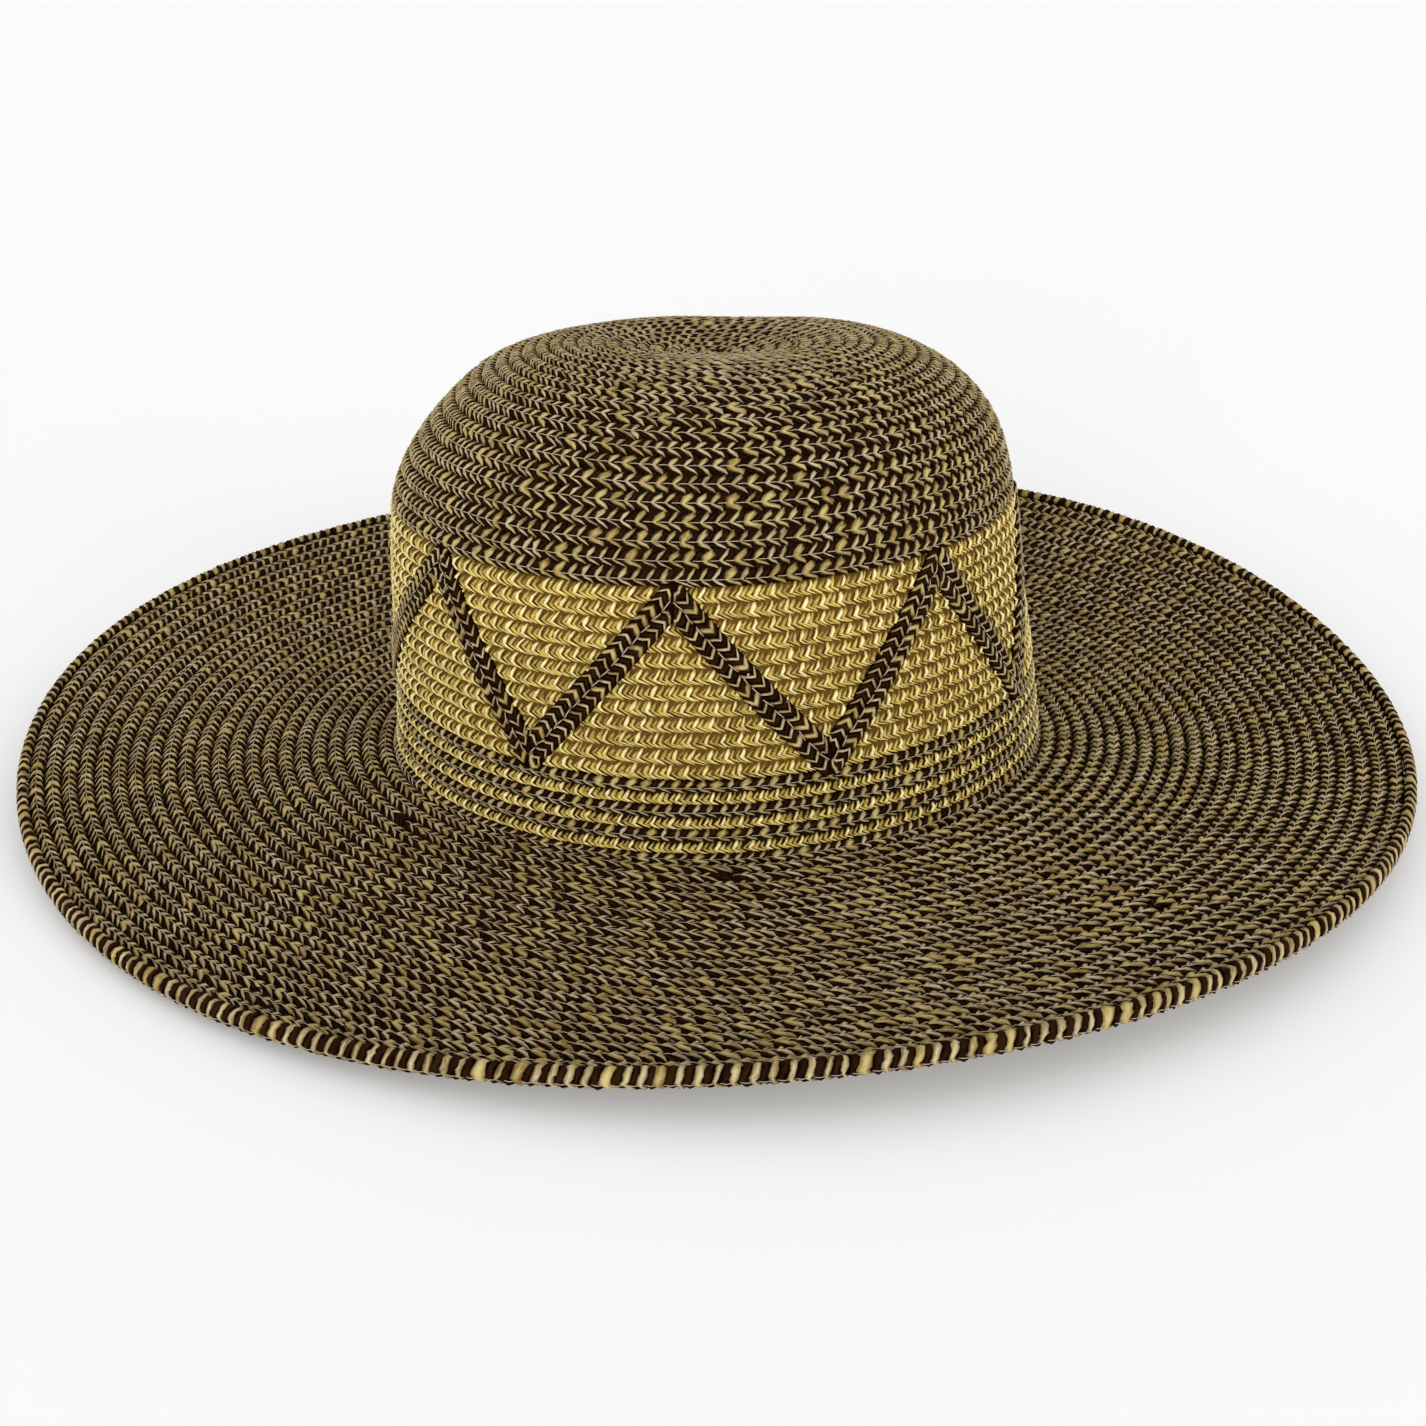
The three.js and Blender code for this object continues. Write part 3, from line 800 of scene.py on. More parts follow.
def straw_grain_group():
    """Straw: streaks of tone along a strand, painted shade towards its sides and its sunk ends, and fine ribs for
    bump.

    Each strand's bright colour lies between two by its shade and the way along it, and its tone rises by a
    fall from its start.
    """
    name = "straw_grain"
    if name in bpy.data.node_groups:
        return bpy.data.node_groups[name]
    white = (1, 1, 1, 1)
    tree, given, wanted = group(name, [
        ("Across", "NodeSocketFloat", 0.5), ("Along", "NodeSocketFloat", 0.5), ("Shade", "NodeSocketFloat", 0.5),
        ("Dull", "NodeSocketColor", white), ("Bright", "NodeSocketColor", white),
        ("Other", "NodeSocketColor", white), ("Fall", "NodeSocketFloat", 0.0),
    ], [("Colour", "NodeSocketColor"), ("Roughness", "NodeSocketFloat"), ("Height", "NodeSocketFloat")])
    across, along, shade = (given.outputs[i] for i in range(3))
    seed = maths(tree, "MULTIPLY", shade, 91.7)
    ribs_at = node(tree, "ShaderNodeCombineXYZ", {0: maths(tree, "MULTIPLY", across, 5.0),
                                                  1: maths(tree, "MULTIPLY", along, 3.0), 2: seed})
    ribs = node(tree, "ShaderNodeTexNoise", {"Vector": ribs_at.outputs[0], "Scale": 1.0, "Detail": 2.0})
    patch_at = node(tree, "ShaderNodeCombineXYZ", {0: maths(tree, "MULTIPLY", across, 2.0),
                                                   1: maths(tree, "MULTIPLY", along, 5.5), 2: seed})
    patch = node(tree, "ShaderNodeTexNoise", {"Vector": patch_at.outputs[0], "Scale": 1.0, "Detail": 3.0})
    # Painted shade: the tone drops towards a strand's sides and, below, towards its two ends, where it sinks under
    # its neighbours.
    side = maths(tree, "ABSOLUTE", maths(tree, "SUBTRACT", across, 0.5))
    side = maths(tree, "POWER", maths(tree, "MULTIPLY", side, 2.0), 2.0)
    end = maths(tree, "ABSOLUTE", maths(tree, "SUBTRACT", along, 0.5))
    end = maths(tree, "POWER", maths(tree, "MULTIPLY", end, 2.0), 3.0)
    tone = maths(tree, "MULTIPLY_ADD", ribs.outputs[0], 1.3, -0.65)
    tone = maths(tree, "ADD", tone, maths(tree, "MULTIPLY_ADD", patch.outputs[0], 1.4, -0.7))
    tone = maths(tree, "ADD", tone, maths(tree, "MULTIPLY_ADD", shade, 0.55, 0.42))
    tone = maths(tree, "SUBTRACT", tone, maths(tree, "MULTIPLY", side, 0.30))
    fall = maths(tree, "MULTIPLY", maths(tree, "SUBTRACT", along, 0.5), given.outputs[6])
    tone = maths(tree, "ADD", tone, fall)
    tone = maths(tree, "SUBTRACT", tone, maths(tree, "MULTIPLY", end, 0.35), clamp=True)
    lot = maths(tree, "FRACT", maths(tree, "MULTIPLY", shade, 57.3))
    lot = maths(tree, "MULTIPLY_ADD", lot, 0.55, maths(tree, "MULTIPLY", along, 0.45))
    bright = mix_colour(tree, lot, given.outputs[4], given.outputs[5])
    # Where the tone is low, from painted shade or dull streaks, the colour goes to Dull.
    made = mix_colour(tree, tone, given.outputs[3], bright)
    tree.links.new(made, wanted.inputs[0])
    tree.links.new(maths(tree, "MULTIPLY_ADD", ribs.outputs[0], -0.25, 0.72), wanted.inputs[1])
    tree.links.new(ribs.outputs[0], wanted.inputs[2])
    return tree


def surface(name, gloss=0.2, sheen=0.0):
    """A new material with its node tree and Principled shader; gloss and sheen are the same all over."""
    made = bpy.data.materials.new(name)
    made.use_nodes = True
    tree = made.node_tree
    shader = tree.nodes["Principled BSDF"]
    shader.inputs["Specular IOR Level"].default_value = gloss
    shader.inputs["Sheen Weight"].default_value = sheen
    return made, tree, shader


def rgba(value):
    """A colour property as four numbers."""
    return (*value, 1.0)


def strand_material(name, dull, bright, other, gloss=0.2, fall=0.0, rib_depth=0.00012):
    """Straw strand: colour, roughness and bump from the grain group on the strand's own UV map and shade."""
    if name in bpy.data.materials:
        return bpy.data.materials[name]
    made, tree, shader = surface(name, gloss)
    uv = node(tree, "ShaderNodeUVMap", uv_map="straw")
    split = node(tree, "ShaderNodeSeparateXYZ", {0: uv.outputs[0]})
    shade = node(tree, "ShaderNodeAttribute", attribute_name="shade")
    grain = node(tree, "ShaderNodeGroup", node_tree=straw_grain_group())
    tree.links.new(split.outputs[0], grain.inputs["Across"])
    tree.links.new(split.outputs[1], grain.inputs["Along"])
    tree.links.new(shade.outputs["Fac"], grain.inputs["Shade"])
    grain.inputs["Dull"].default_value = rgba(dull)
    grain.inputs["Bright"].default_value = rgba(bright)
    grain.inputs["Other"].default_value = rgba(other)
    grain.inputs["Fall"].default_value = fall
    tree.links.new(grain.outputs["Colour"], shader.inputs["Base Color"])
    tree.links.new(grain.outputs["Roughness"], shader.inputs["Roughness"])
    bump = node(tree, "ShaderNodeBump", {"Strength": 0.6, "Distance": rib_depth,
                                         "Height": grain.outputs["Height"]})
    tree.links.new(bump.outputs[0], shader.inputs["Normal"])
    return made


def braid_pattern_group():
    """Rows of bent strands drawn on turn and row: which strand a point is on, its tone with painted shade and its
    height.

    A row's strands shift along by a slant above its bend and by another below; each pair is a dark strand and
    a light one, and a pair's height is one less the square of the way to a strand's side.
    """
    name = "braid_pattern"
    if name in bpy.data.node_groups:
        return bpy.data.node_groups[name]
    tree, given, wanted = group(name, [
        ("Turn", "NodeSocketFloat", 0.0), ("Row", "NodeSocketFloat", 0.0), ("Stitches", "NodeSocketFloat", 100.0),
    ], [("Light", "NodeSocketFloat"), ("Gold", "NodeSocketFloat"), ("Tone", "NodeSocketFloat"),
        ("Height", "NodeSocketFloat")])
    turn, row_at, stitches = (given.outputs[i] for i in range(3))
    row = maths(tree, "FLOOR", row_at)
    down = maths(tree, "SUBTRACT", row_at, row)
    above = maths(tree, "MULTIPLY", maths(tree, "MAXIMUM", maths(tree, "SUBTRACT", 0.6, down), 0.0), 0.9)
    below = maths(tree, "MULTIPLY", maths(tree, "MAXIMUM", maths(tree, "SUBTRACT", down, 0.6), 0.0), 2.4)
    along = maths(tree, "MULTIPLY", turn, stitches)
    along = maths(tree, "SUBTRACT", along, maths(tree, "ADD", above, below))
    along = maths(tree, "ADD", along, maths(tree, "MULTIPLY", row, 0.37))
    pair = maths(tree, "FLOOR", along)
    inside = maths(tree, "SUBTRACT", along, pair)
    light = maths(tree, "GREATER_THAN", inside, 0.5)
    strand = maths(tree, "FRACT", maths(tree, "MULTIPLY", inside, 2.0))
    side = maths(tree, "MULTIPLY", maths(tree, "SUBTRACT", strand, 0.5), 2.0)
    round_off = maths(tree, "SUBTRACT", 1.0, maths(tree, "MULTIPLY", side, side))
    seam = maths(tree, "SINE", maths(tree, "MULTIPLY", down, math.pi))
    seam = maths(tree, "POWER", maths(tree, "MAXIMUM", seam, 0.0), 0.35)
    spot = node(tree, "ShaderNodeCombineXYZ", {0: pair, 1: row, 2: light})
    chance = node(tree, "ShaderNodeTexWhiteNoise", {"Vector": spot.outputs[0]}, noise_dimensions="3D")
    gold = maths(tree, "MULTIPLY", maths(tree, "GREATER_THAN", chance.outputs[0], 0.76), light)
    # Painted shade: the tone falls towards each strand's sides and towards each row's seams, times a random factor
    # for each strand.
    tone = maths(tree, "MULTIPLY", maths(tree, "MULTIPLY_ADD", round_off, 0.7, 0.3), seam)
    tone = maths(tree, "MULTIPLY", tone, maths(tree, "MULTIPLY_ADD", chance.outputs[0], 0.5, 0.6), clamp=True)
    for i, output in enumerate((light, gold, tone, maths(tree, "MULTIPLY", round_off, seam))):
        tree.links.new(output, wanted.inputs[i])
    return tree


def wall_material(name, colours, dark, light, gold, ground):
    """Braid wall: the drawn pattern with its painted shade on its inside, and a plain rough ground of painted
    shade under the strands outside.
    """
    if name in bpy.data.materials:
        return bpy.data.materials[name]
    made, tree, shader = surface(name, gloss=0.08)
    uv = node(tree, "ShaderNodeUVMap", uv_map="straw")
    split = node(tree, "ShaderNodeSeparateXYZ", {0: uv.outputs[0]})
    stitches = node(tree, "ShaderNodeAttribute", attribute_name="stitches")
    outside = node(tree, "ShaderNodeAttribute", attribute_name="outside")
    pattern = node(tree, "ShaderNodeGroup", node_tree=braid_pattern_group())
    tree.links.new(split.outputs[0], pattern.inputs["Turn"])
    tree.links.new(split.outputs[1], pattern.inputs["Row"])
    tree.links.new(stitches.outputs["Fac"], pattern.inputs["Stitches"])
    straw = mix_colour(tree, pattern.outputs["Gold"], rgba(light), rgba(gold))
    straw = mix_colour(tree, pattern.outputs["Light"], rgba(dark), straw)
    # Painted shade: the ground colour comes in where the pattern's tone falls at strand sides and row seams.
    straw = mix_colour(tree, pattern.outputs["Tone"], rgba(ground), straw)
    # Outside: the ground colour with a fine noise, painted shade seen between the strands.
    place = node(tree, "ShaderNodeTexCoord")
    spots = node(tree, "ShaderNodeTexNoise", {"Vector": place.outputs["Object"], "Scale": 900.0, "Detail": 2.0})
    rough = mix_colour(tree, spots.outputs[0], rgba(ground), rgba([2.2 * part for part in ground]))
    final = mix_colour(tree, outside.outputs["Fac"], straw, rough)
    tree.links.new(final, shader.inputs["Base Color"])
    shader.inputs["Roughness"].default_value = 0.75
    bump = node(tree, "ShaderNodeBump", {"Strength": 0.8, "Distance": 0.0006,
                                         "Height": pattern.outputs["Height"]})
    tree.links.new(bump.outputs[0], shader.inputs["Normal"])
    return made


def thread_material(colours):
    """Sewing thread: pale cotton with a fine twist on the thread's UV map."""
    name = "sewing_thread"
    if name in bpy.data.materials:
        return bpy.data.materials[name]
    made, tree, shader = surface(name, sheen=0.2)
    uv = node(tree, "ShaderNodeUVMap", uv_map="straw")
    twist = node(tree, "ShaderNodeTexWave", {"Vector": uv.outputs[0], "Scale": 4.0, "Distortion": 1.0})
    dark = [0.6 * part for part in colours.thread]
    tree.links.new(mix_colour(tree, twist.outputs["Fac"], rgba(dark), rgba(colours.thread)),
                   shader.inputs["Base Color"])
    shader.inputs["Roughness"].default_value = 0.65
    return made


class Finishes:
    """All the hat's materials, made once."""

    def __init__(self, c):
        # Each strand material's first colour is the dull end of its tone: dull streaks and painted shade at the
        # strand's sides, sunk ends and grooves.
        self.black = strand_material("black_straw", c.black, c.black_brown, c.black_brown, gloss=0.02)
        self.tan = strand_material("tan_straw", c.tan_dull_and_shade, c.tan, c.tan_rosy)
        self.gold = strand_material("gold_straw", c.gold_dull_and_shade, c.gold, c.gold_rosy)
        self.cream = strand_material("cream_straw", c.cream_dull_and_shade, c.cream, c.cream)
        self.ochre = strand_material("ochre_straw", c.ochre_dull_and_shade, c.ochre, c.ochre_brown, fall=1.1)
        # The walls' last colour, their ground, is painted shade between the strands.
        self.wall = wall_material("two_tone_wall", c, c.black_brown, c.tan, c.gold, c.ground)
        self.plain_wall = wall_material("plain_wall", c, c.ochre, c.ochre, c.cream, c.plain_ground_shade)
        self.thread = thread_material(c)


def tools(context):
    """The form, the braid's settings and the finishes of one operator."""
    scene = context.scene
    braid = scene.sun_hat_braid
    return HatForm(scene.sun_hat_form), braid, Finishes(scene.sun_hat_colours)


# Operators


class SUNHAT_OT_walls(bpy.types.Operator):
    """Build the braid walls of the crown, the stripes and the brim, and the core of the rolled edge"""

    bl_idname = "sun_hat.walls"
    bl_label = "Braid walls"

    def execute(self, context):
        form, braid, finish = tools(context)
        s = form.s
        gap = s.row_gap / 2
        bulge = braid.row_bulge
        top = wall_piece(form, "crown_top_wall", finish.wall, 0.0, form.dome_end - gap, braid.dome_rows, 120,
                         bulge * 0.8, from_axis=True)
        settle(top, "two_tone_braid", "crown_top")
        band = wall_piece(form, "crown_band_wall", finish.plain_wall, form.dome_end + gap, form.band_end - gap,
                          braid.band_rows, 120, bulge * 0.7)
        settle(band, "natural_braid", "crown_band")
        stripes = wall_piece(form, "stripes_wall", finish.wall, form.band_end + gap, form.stripes_end - gap,
                             len(STRIPES), 120, bulge * 0.6)
        settle(stripes, "stripe_braid", *STRIPES)
        brim = wall_piece(form, "brim_wall", finish.wall, form.stripes_end + gap, form.brim_end + s.row_gap * 2,
                          braid.brim_rows, 180, bulge)
        settle(brim, "two_tone_braid", "brim")
        section = np.linspace(0, 2 * math.pi, 20, endpoint=False)
        slim = 0.0004
        core = closed_ring(form, "brim_edge_core", finish.black,
                           form.edge_centre[0] + (s.edge_width / 2 - slim) * np.cos(section),
                           form.edge_centre[1] + (s.edge_height / 2 - slim) * np.sin(section), 180)
        settle(core, "edge_braid", "brim_edge")
        return {"FINISHED"}


def lay_strands(form, profile, lay, kind, styles, bulge, rng, slot):
    """One piece for each style: a name, a kind of strand, its shape and its finish."""
    for name, wanted, shape, material in styles:
        chosen = pick(lay, kind == wanted)
        points = row_strands(form, profile, chosen, shape, bulge, rng)
        settle(strips(name, points, rng.uniform(0, 1, len(points)), material), slot)


class SUNHAT_OT_two_tone_strands(bpy.types.Operator):
    """Lay the dark, tan and gold strands of the crown's dome and the brim"""

    bl_idname = "sun_hat.two_tone_strands"
    bl_label = "Two-tone strands"

    def execute(self, context):
        form, braid, finish = tools(context)
        rng = np.random.default_rng(braid.seed)
        widths = two_tone(braid, rng)
        over_edge = form.s.edge_width / 4
        spans = (("crown", 0.0, form.dome_end, braid.dome_rows, 5, 0.8, DARK_STRAND, TAN_STRAND),
                 ("brim", form.stripes_end, form.brim_end + over_edge, braid.brim_rows, 0, 1.0, BRIM_DARK_STRAND,
                  BRIM_TAN_STRAND))
        for part, start, end, rows, turns, height, dark, light in spans:
            pitch = (end - start) / rows
            tops = start + pitch * np.arange(turns, rows)
            lay, kind = ring_lay(form.outer, tops, pitch, widths, rng)
            if turns:
                spiral, spiral_kind = spiral_lay(form.outer, start, start + pitch * turns, turns,
                                                 two_tone(braid, rng, 0.75), rng)
                lay = tuple(np.concatenate(pair) for pair in zip(spiral, lay))
                kind = np.concatenate((spiral_kind, kind))
            kind = knotted(form, form.outer, lay, kind)
            bulge = braid.row_bulge * height
            lay_strands(form, form.outer, lay, kind, [
                (f"{part}_dark_strands", 0, dark, finish.black),
                (f"{part}_tan_strands", 1, light, finish.tan),
                (f"{part}_gold_strands", 2, light, finish.gold),
            ], bulge, rng, "two_tone_braid")
            points = sewing_dashes(form, form.outer, pick(lay, kind > 0), bulge, braid.thread_width,
                                   braid.dark_strand + braid.tan_strand, down=light[2, 0])
            threads = strips(f"{part}_threads", points, rng.uniform(0, 1, len(points)), finish.thread)
            settle(threads, "two_tone_braid")
        return {"FINISHED"}


class SUNHAT_OT_plain_strands(bpy.types.Operator):
    """Lay the cream and ochre strands of the plain band"""

    bl_idname = "sun_hat.plain_strands"
    bl_label = "Plain strands"

    def execute(self, context):
        form, braid, finish = tools(context)
        rng = np.random.default_rng(braid.seed + 1)
        tall = (form.band_end - form.dome_end) / braid.band_rows
        tops = form.dome_end + tall * np.arange(braid.band_rows)
        lay, kind = ring_lay(form.outer, tops, tall, plain(braid), rng)
        lay_strands(form, form.outer, lay, kind, [
            ("band_cream_strands", 0, CREAM_STRAND, finish.cream),
            ("band_ochre_strands", 1, OCHRE_STRAND, finish.ochre),
        ], braid.row_bulge * 0.7, rng, "natural_braid")
        return {"FINISHED"}


class SUNHAT_OT_stripe_strands(bpy.types.Operator):
    """Lay the strands of the narrow dark and natural rows"""

    bl_idname = "sun_hat.stripe_strands"
    bl_label = "Stripe strands"

    def execute(self, context):
        form, braid, finish = tools(context)
        rng = np.random.default_rng(braid.seed + 2)
        tall = (form.stripes_end - form.band_end) / len(STRIPES)
        tops = form.band_end + tall * np.arange(len(STRIPES))
        bulge = braid.row_bulge * 0.6
        lay, kind = ring_lay(form.outer, tops[0::2], tall, two_tone(braid, rng, 0.92), rng)
        lay_strands(form, form.outer, lay, kind, [
            ("stripe_dark_strands", 0, DARK_STRAND, finish.black),
            ("stripe_tan_strands", 1, TAN_STRAND, finish.tan),
            ("stripe_gold_strands", 2, TAN_STRAND, finish.gold),
        ], bulge, rng, "stripe_braid")
        points = sewing_dashes(form, form.outer, pick(lay, kind > 0), bulge, braid.thread_width,
                               braid.dark_strand + braid.tan_strand)
        settle(strips("stripe_threads", points, rng.uniform(0, 1, len(points)), finish.thread), "stripe_braid")
        lay, kind = ring_lay(form.outer, tops[1::2], tall, plain(braid), rng)
        lay_strands(form, form.outer, lay, kind, [
            ("stripe_cream_strands", 0, CREAM_STRAND, finish.cream),
            ("stripe_ochre_strands", 1, OCHRE_STRAND, finish.ochre),
        ], bulge, rng, "natural_braid")
        return {"FINISHED"}


class SUNHAT_OT_edge_strands(bpy.types.Operator):
    """Roll the edge row's strands over the rim"""

    bl_idname = "sun_hat.edge_strands"
    bl_label = "Edge strands"

    def execute(self, context):
        form, braid, finish = tools(context)
        rng = np.random.default_rng(braid.seed + 3)
        lay, kind = ring_lay(form.edge, [0.0], form.edge.length, two_tone(braid, rng, 1.25), rng)
        lay_strands(form, form.edge, lay, kind, [
            ("edge_dark_strands", 0, EDGE_STRAND, finish.black),
            ("edge_tan_strands", 1, EDGE_STRAND, finish.tan),
            ("edge_gold_strands", 2, EDGE_STRAND, finish.gold),
        ], 0.0, rng, "edge_braid")
        points = sewing_dashes(form, form.edge, pick(lay, kind > 0), 0.0, braid.thread_width,
                               braid.dark_strand + braid.tan_strand, down=0.67)
        settle(strips("edge_threads", points, rng.uniform(0, 1, len(points)), finish.thread), "edge_braid")
        return {"FINISHED"}


def tape_lay(form, pitch):
    """Leg and place along it of what repeats on the tape, spaced evenly and running on past both corners."""
    legs, places = [], []
    for leg, length_along in enumerate(form.leg_lengths):
        total = length_along + form.s.tape_width
        count = int(round(total / pitch))
        legs.append(np.full(count, leg))
        places.append((np.arange(count) + 0.5) * total / count - form.s.tape_width / 2)
    return np.concatenate(legs), np.concatenate(places)


def tape_strands(form, leg, at, side, breadth, shape, rng):
    """Points of the strands of one half of the tape: each goes from the edge to a bend and back to the middle.

    Strands that lie mostly past the end of their leg are left out, and the others are pressed back into it.
    """
    share_across, forward, proud, spread = shape.T
    across = np.broadcast_to(side[:, None] * share_across * form.s.tape_width / 2, (len(at), len(shape)))
    run = at[:, None] + forward * (1 + 0.10 * rng.normal(0, 1, across.shape))
    reach = breadth[:, None] * spread / 2
    first, last = form.leg_span(leg[:, None], across)
    keep = ((run > first) & (run < last)).mean(axis=1) >= 0.4
    run = np.clip(run, first + reach, last - reach)
    run_all = run[..., None] + reach[..., None] * SIDES * side[:, None, None]
    lift = form.s.tape_gap + form.s.tape_thickness + proud[:, None] - SINK * np.abs(SIDES)
    across_all = np.broadcast_to(across[..., None], run_all.shape)
    leg_all = np.broadcast_to(leg[:, None, None], run_all.shape)
    return form.place_tape(leg_all[keep], run_all[keep], across_all[keep],
                           np.broadcast_to(lift, run_all.shape)[keep])


class SUNHAT_OT_zigzag_tape(bpy.types.Operator):
    """Sew the zigzag tape round the plain band: its ground, its two columns of chevrons and its thread"""

    bl_idname = "sun_hat.zigzag_tape"
    bl_label = "Zigzag tape"

    def execute(self, context):
        form, braid, finish = tools(context)
        s = form.s
        rng = np.random.default_rng(braid.seed + 4)
        half = s.tape_width / 2
        top = s.tape_gap + s.tape_thickness

        leg, part, corner = np.meshgrid(np.arange(len(form.leg_lengths)), np.linspace(0, 1, 9), np.arange(4),
                                        indexing="ij")
        across = np.array([-1.0, 1.0, 1.0, -1.0])[corner] * half * 0.97
        proud = np.array([0.0, 0.0, 1.0, 1.0])[corner] * (s.tape_thickness - 0.0002) + s.tape_gap
        first, last = form.leg_span(leg, across)
        points = form.place_tape(leg, lerp(first, last, part), across, proud).reshape(-1, 3)
        stations = len(points) // 4
        station, side = np.meshgrid(np.arange(stations), np.arange(4), indexing="ij")
        station_next, side_next = (station + 1) % stations, (side + 1) % 4
        quads = np.stack((station * 4 + side, station * 4 + side_next, station_next * 4 + side_next,
                          station_next * 4 + side), axis=-1).reshape(-1, 4)
        halves = np.concatenate((quads[:, [0, 1, 2]], quads[:, [0, 2, 3]]))
        if signed_volume(points, halves) < 0:
            quads = quads[:, ::-1]
        uv = np.stack((part.ravel(), across.ravel()), axis=1)
        ground = build_mesh("zigzag_tape_ground", points, quads, [], finish.black, point_uv=uv,
                            point_values={"shade": np.zeros(len(points))})
        ground.data.polygons.foreach_set("use_smooth", np.zeros(len(quads), dtype=bool))
        settle(ground, "tape_braid", "zigzag_tape")

        leg, at = tape_lay(form, braid.tape_pitch)
        leg, at = np.tile(leg, 2), np.tile(at, 2)
        side = np.repeat([1.0, -1.0], len(at) // 2)
        at = at + side * braid.tape_pitch / 8
        broad = rng.uniform(0, 1, len(at)) < braid.gold_share
        light = np.where(broad, braid.tape_broad, braid.tape_light)
        dark = braid.tape_pitch - light
        styles = (("dark", np.ones(len(at), dtype=bool), at + braid.tape_pitch / 2, dark, TAPE_DARK, finish.black),
                  ("tan", ~broad, at, light, TAPE_LIGHT, finish.tan),
                  ("gold", broad, at, light, TAPE_LIGHT, finish.gold))
        for name, chosen, place, breadth, shape, material in styles:
            points = tape_strands(form, leg[chosen], place[chosen], side[chosen], breadth[chosen], shape, rng)
            settle(strips(f"tape_{name}_strands", points, rng.uniform(0, 1, len(points)), material), "tape_braid")

        leg, at = tape_lay(form, braid.dash_pitch)
        inside = (at > 0) & (at < form.leg_lengths[leg])
        leg, at = leg[inside], at[inside]
        run = at[:, None] + np.array([-0.5, 0.0, 0.5]) * braid.dash_length
        thread = braid.thread_width * 1.5
        slant = rng.normal(0, 0.00025, len(at))[:, None] * np.array([-1.0, 0.0, 1.0])
        across_all = slant[..., None] + SIDES * thread / 2
        run_all = np.broadcast_to(run[..., None], across_all.shape)
        lift = top + np.array([0.0004, 0.0008, 0.0004])[:, None] - np.abs(SIDES) * thread / 2
        leg_all = np.broadcast_to(leg[:, None, None], run_all.shape)
        points = form.place_tape(leg_all, run_all, across_all, np.broadcast_to(lift, run_all.shape))
        settle(strips("tape_thread", points, rng.uniform(0, 1, len(at)), finish.thread), "tape_braid")
        return {"FINISHED"}


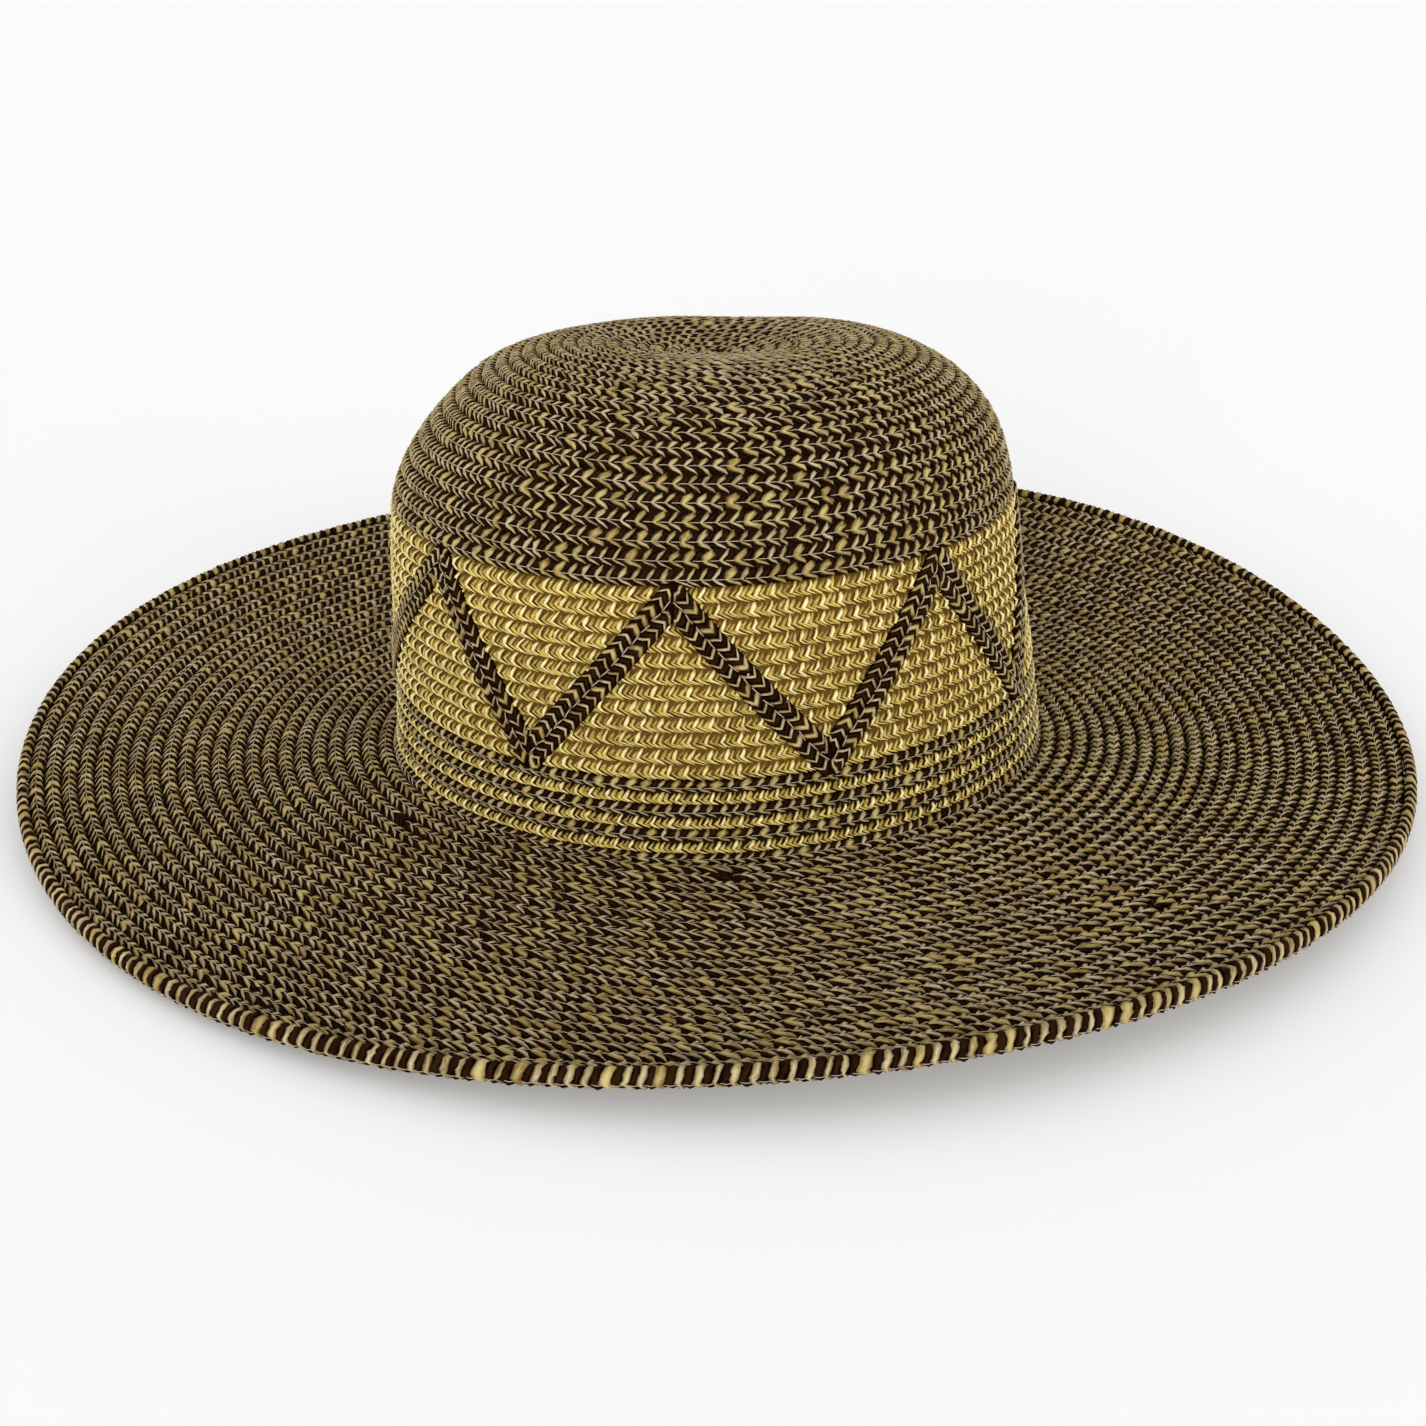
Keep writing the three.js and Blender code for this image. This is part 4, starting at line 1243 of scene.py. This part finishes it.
class SUNHAT_OT_stage(bpy.types.Operator):
    """Set up the pale floor, the soft lights and the camera"""

    bl_idname = "sun_hat.stage"
    bl_label = "Studio"

    def execute(self, context):
        scene = context.scene
        mesh = bpy.data.meshes.new("floor")
        far = 12.0
        mesh.from_pydata([(-far, -far, 0), (far, -far, 0), (far, far, 0), (-far, far, 0)], [], [(0, 1, 2, 3)])
        made, tree, shader = surface("pale_floor")
        place = node(tree, "ShaderNodeTexCoord")
        cloud = node(tree, "ShaderNodeTexNoise", {"Vector": place.outputs["Object"], "Scale": 3.0})
        floor_colour = scene.sun_hat_colours.floor
        darker = [0.985 * part for part in floor_colour]
        tree.links.new(mix_colour(tree, cloud.outputs[0], rgba(darker), rgba(floor_colour)),
                       shader.inputs["Base Color"])
        shader.inputs["Roughness"].default_value = 0.9
        shader.inputs["Emission Strength"].default_value = 0.10
        mesh.materials.append(made)
        floor = bpy.data.objects.new("floor", mesh)
        scene.collection.objects.link(floor)

        world = bpy.data.worlds.new("studio")
        world.use_nodes = True
        sky = world.node_tree
        sky.nodes["Background"].inputs["Color"].default_value = (1, 1, 1, 1)
        towards = node(sky, "ShaderNodeTexCoord")
        split = node(sky, "ShaderNodeSeparateXYZ", {0: towards.outputs["Generated"]})
        sky.links.new(maths(sky, "MULTIPLY_ADD", maths(sky, "MAXIMUM", split.outputs[2], 0.0), -0.46, 1.06),
                      sky.nodes["Background"].inputs["Strength"])
        scene.world = world
        scene.view_settings.view_transform = "Standard"

        for name, turn, height, strength in (("key", -10, 15, 1.45), ("fill", 45, 15, 0.45)):
            lamp = bpy.data.lights.new(name, "SUN")
            lamp.energy = strength
            lamp.angle = math.radians(35)
            light = bpy.data.objects.new(name, lamp)
            light.rotation_euler = (math.radians(90 - height), 0, math.radians(turn))
            scene.collection.objects.link(light)

        data = bpy.data.cameras.new("camera")
        data.sensor_width = 36.0
        data.lens = 2081 / 1426 * 36.0
        data.clip_start = 0.01
        camera = bpy.data.objects.new("camera", data)
        camera.location = (0.0007, -0.6114, 0.2900)
        camera.rotation_mode = "QUATERNION"
        aim = Matrix.Rotation(math.radians(90 - 24.77), 4, "X") @ Matrix.Rotation(math.radians(-0.73), 4, "Z")
        camera.rotation_quaternion = aim.to_quaternion()
        scene.collection.objects.link(camera)
        scene.camera = camera
        return {"FINISHED"}


STEPS = ("stage", "walls", "two_tone_strands", "plain_strands", "stripe_strands", "edge_strands",
         "zigzag_tape")


class SUNHAT_PT_panel(bpy.types.Panel):
    """The hat's sizes, braid, colours and building steps"""

    bl_idname = "SUNHAT_PT_panel"
    bl_label = "Sun hat"
    bl_space_type = "VIEW_3D"
    bl_region_type = "UI"
    bl_category = "Sun hat"

    def draw(self, context):
        for settings in (context.scene.sun_hat_form, context.scene.sun_hat_braid, context.scene.sun_hat_colours):
            box = self.layout.box()
            for key in settings.__annotations__:
                box.prop(settings, key)
        for step in STEPS:
            self.layout.operator(f"sun_hat.{step}")


CLASSES = (SUNHAT_PG_form, SUNHAT_PG_braid, SUNHAT_PG_colours, SUNHAT_OT_walls, SUNHAT_OT_two_tone_strands,
           SUNHAT_OT_plain_strands, SUNHAT_OT_stripe_strands, SUNHAT_OT_edge_strands, SUNHAT_OT_zigzag_tape,
           SUNHAT_OT_stage, SUNHAT_PT_panel)


def register():
    """Adds the classes and the scene's settings."""
    for made in CLASSES:
        bpy.utils.register_class(made)
    bpy.types.Scene.sun_hat_form = PointerProperty(type=SUNHAT_PG_form)
    bpy.types.Scene.sun_hat_braid = PointerProperty(type=SUNHAT_PG_braid)
    bpy.types.Scene.sun_hat_colours = PointerProperty(type=SUNHAT_PG_colours)


def unregister():
    """Takes the scene's settings and the classes away again."""
    del bpy.types.Scene.sun_hat_colours
    del bpy.types.Scene.sun_hat_braid
    del bpy.types.Scene.sun_hat_form
    for made in reversed(CLASSES):
        bpy.utils.unregister_class(made)


def main():
    """Registers the classes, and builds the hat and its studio."""
    register()
    for step in STEPS:
        getattr(bpy.ops.sun_hat, step)()


if __name__ == "__main__":
    main()
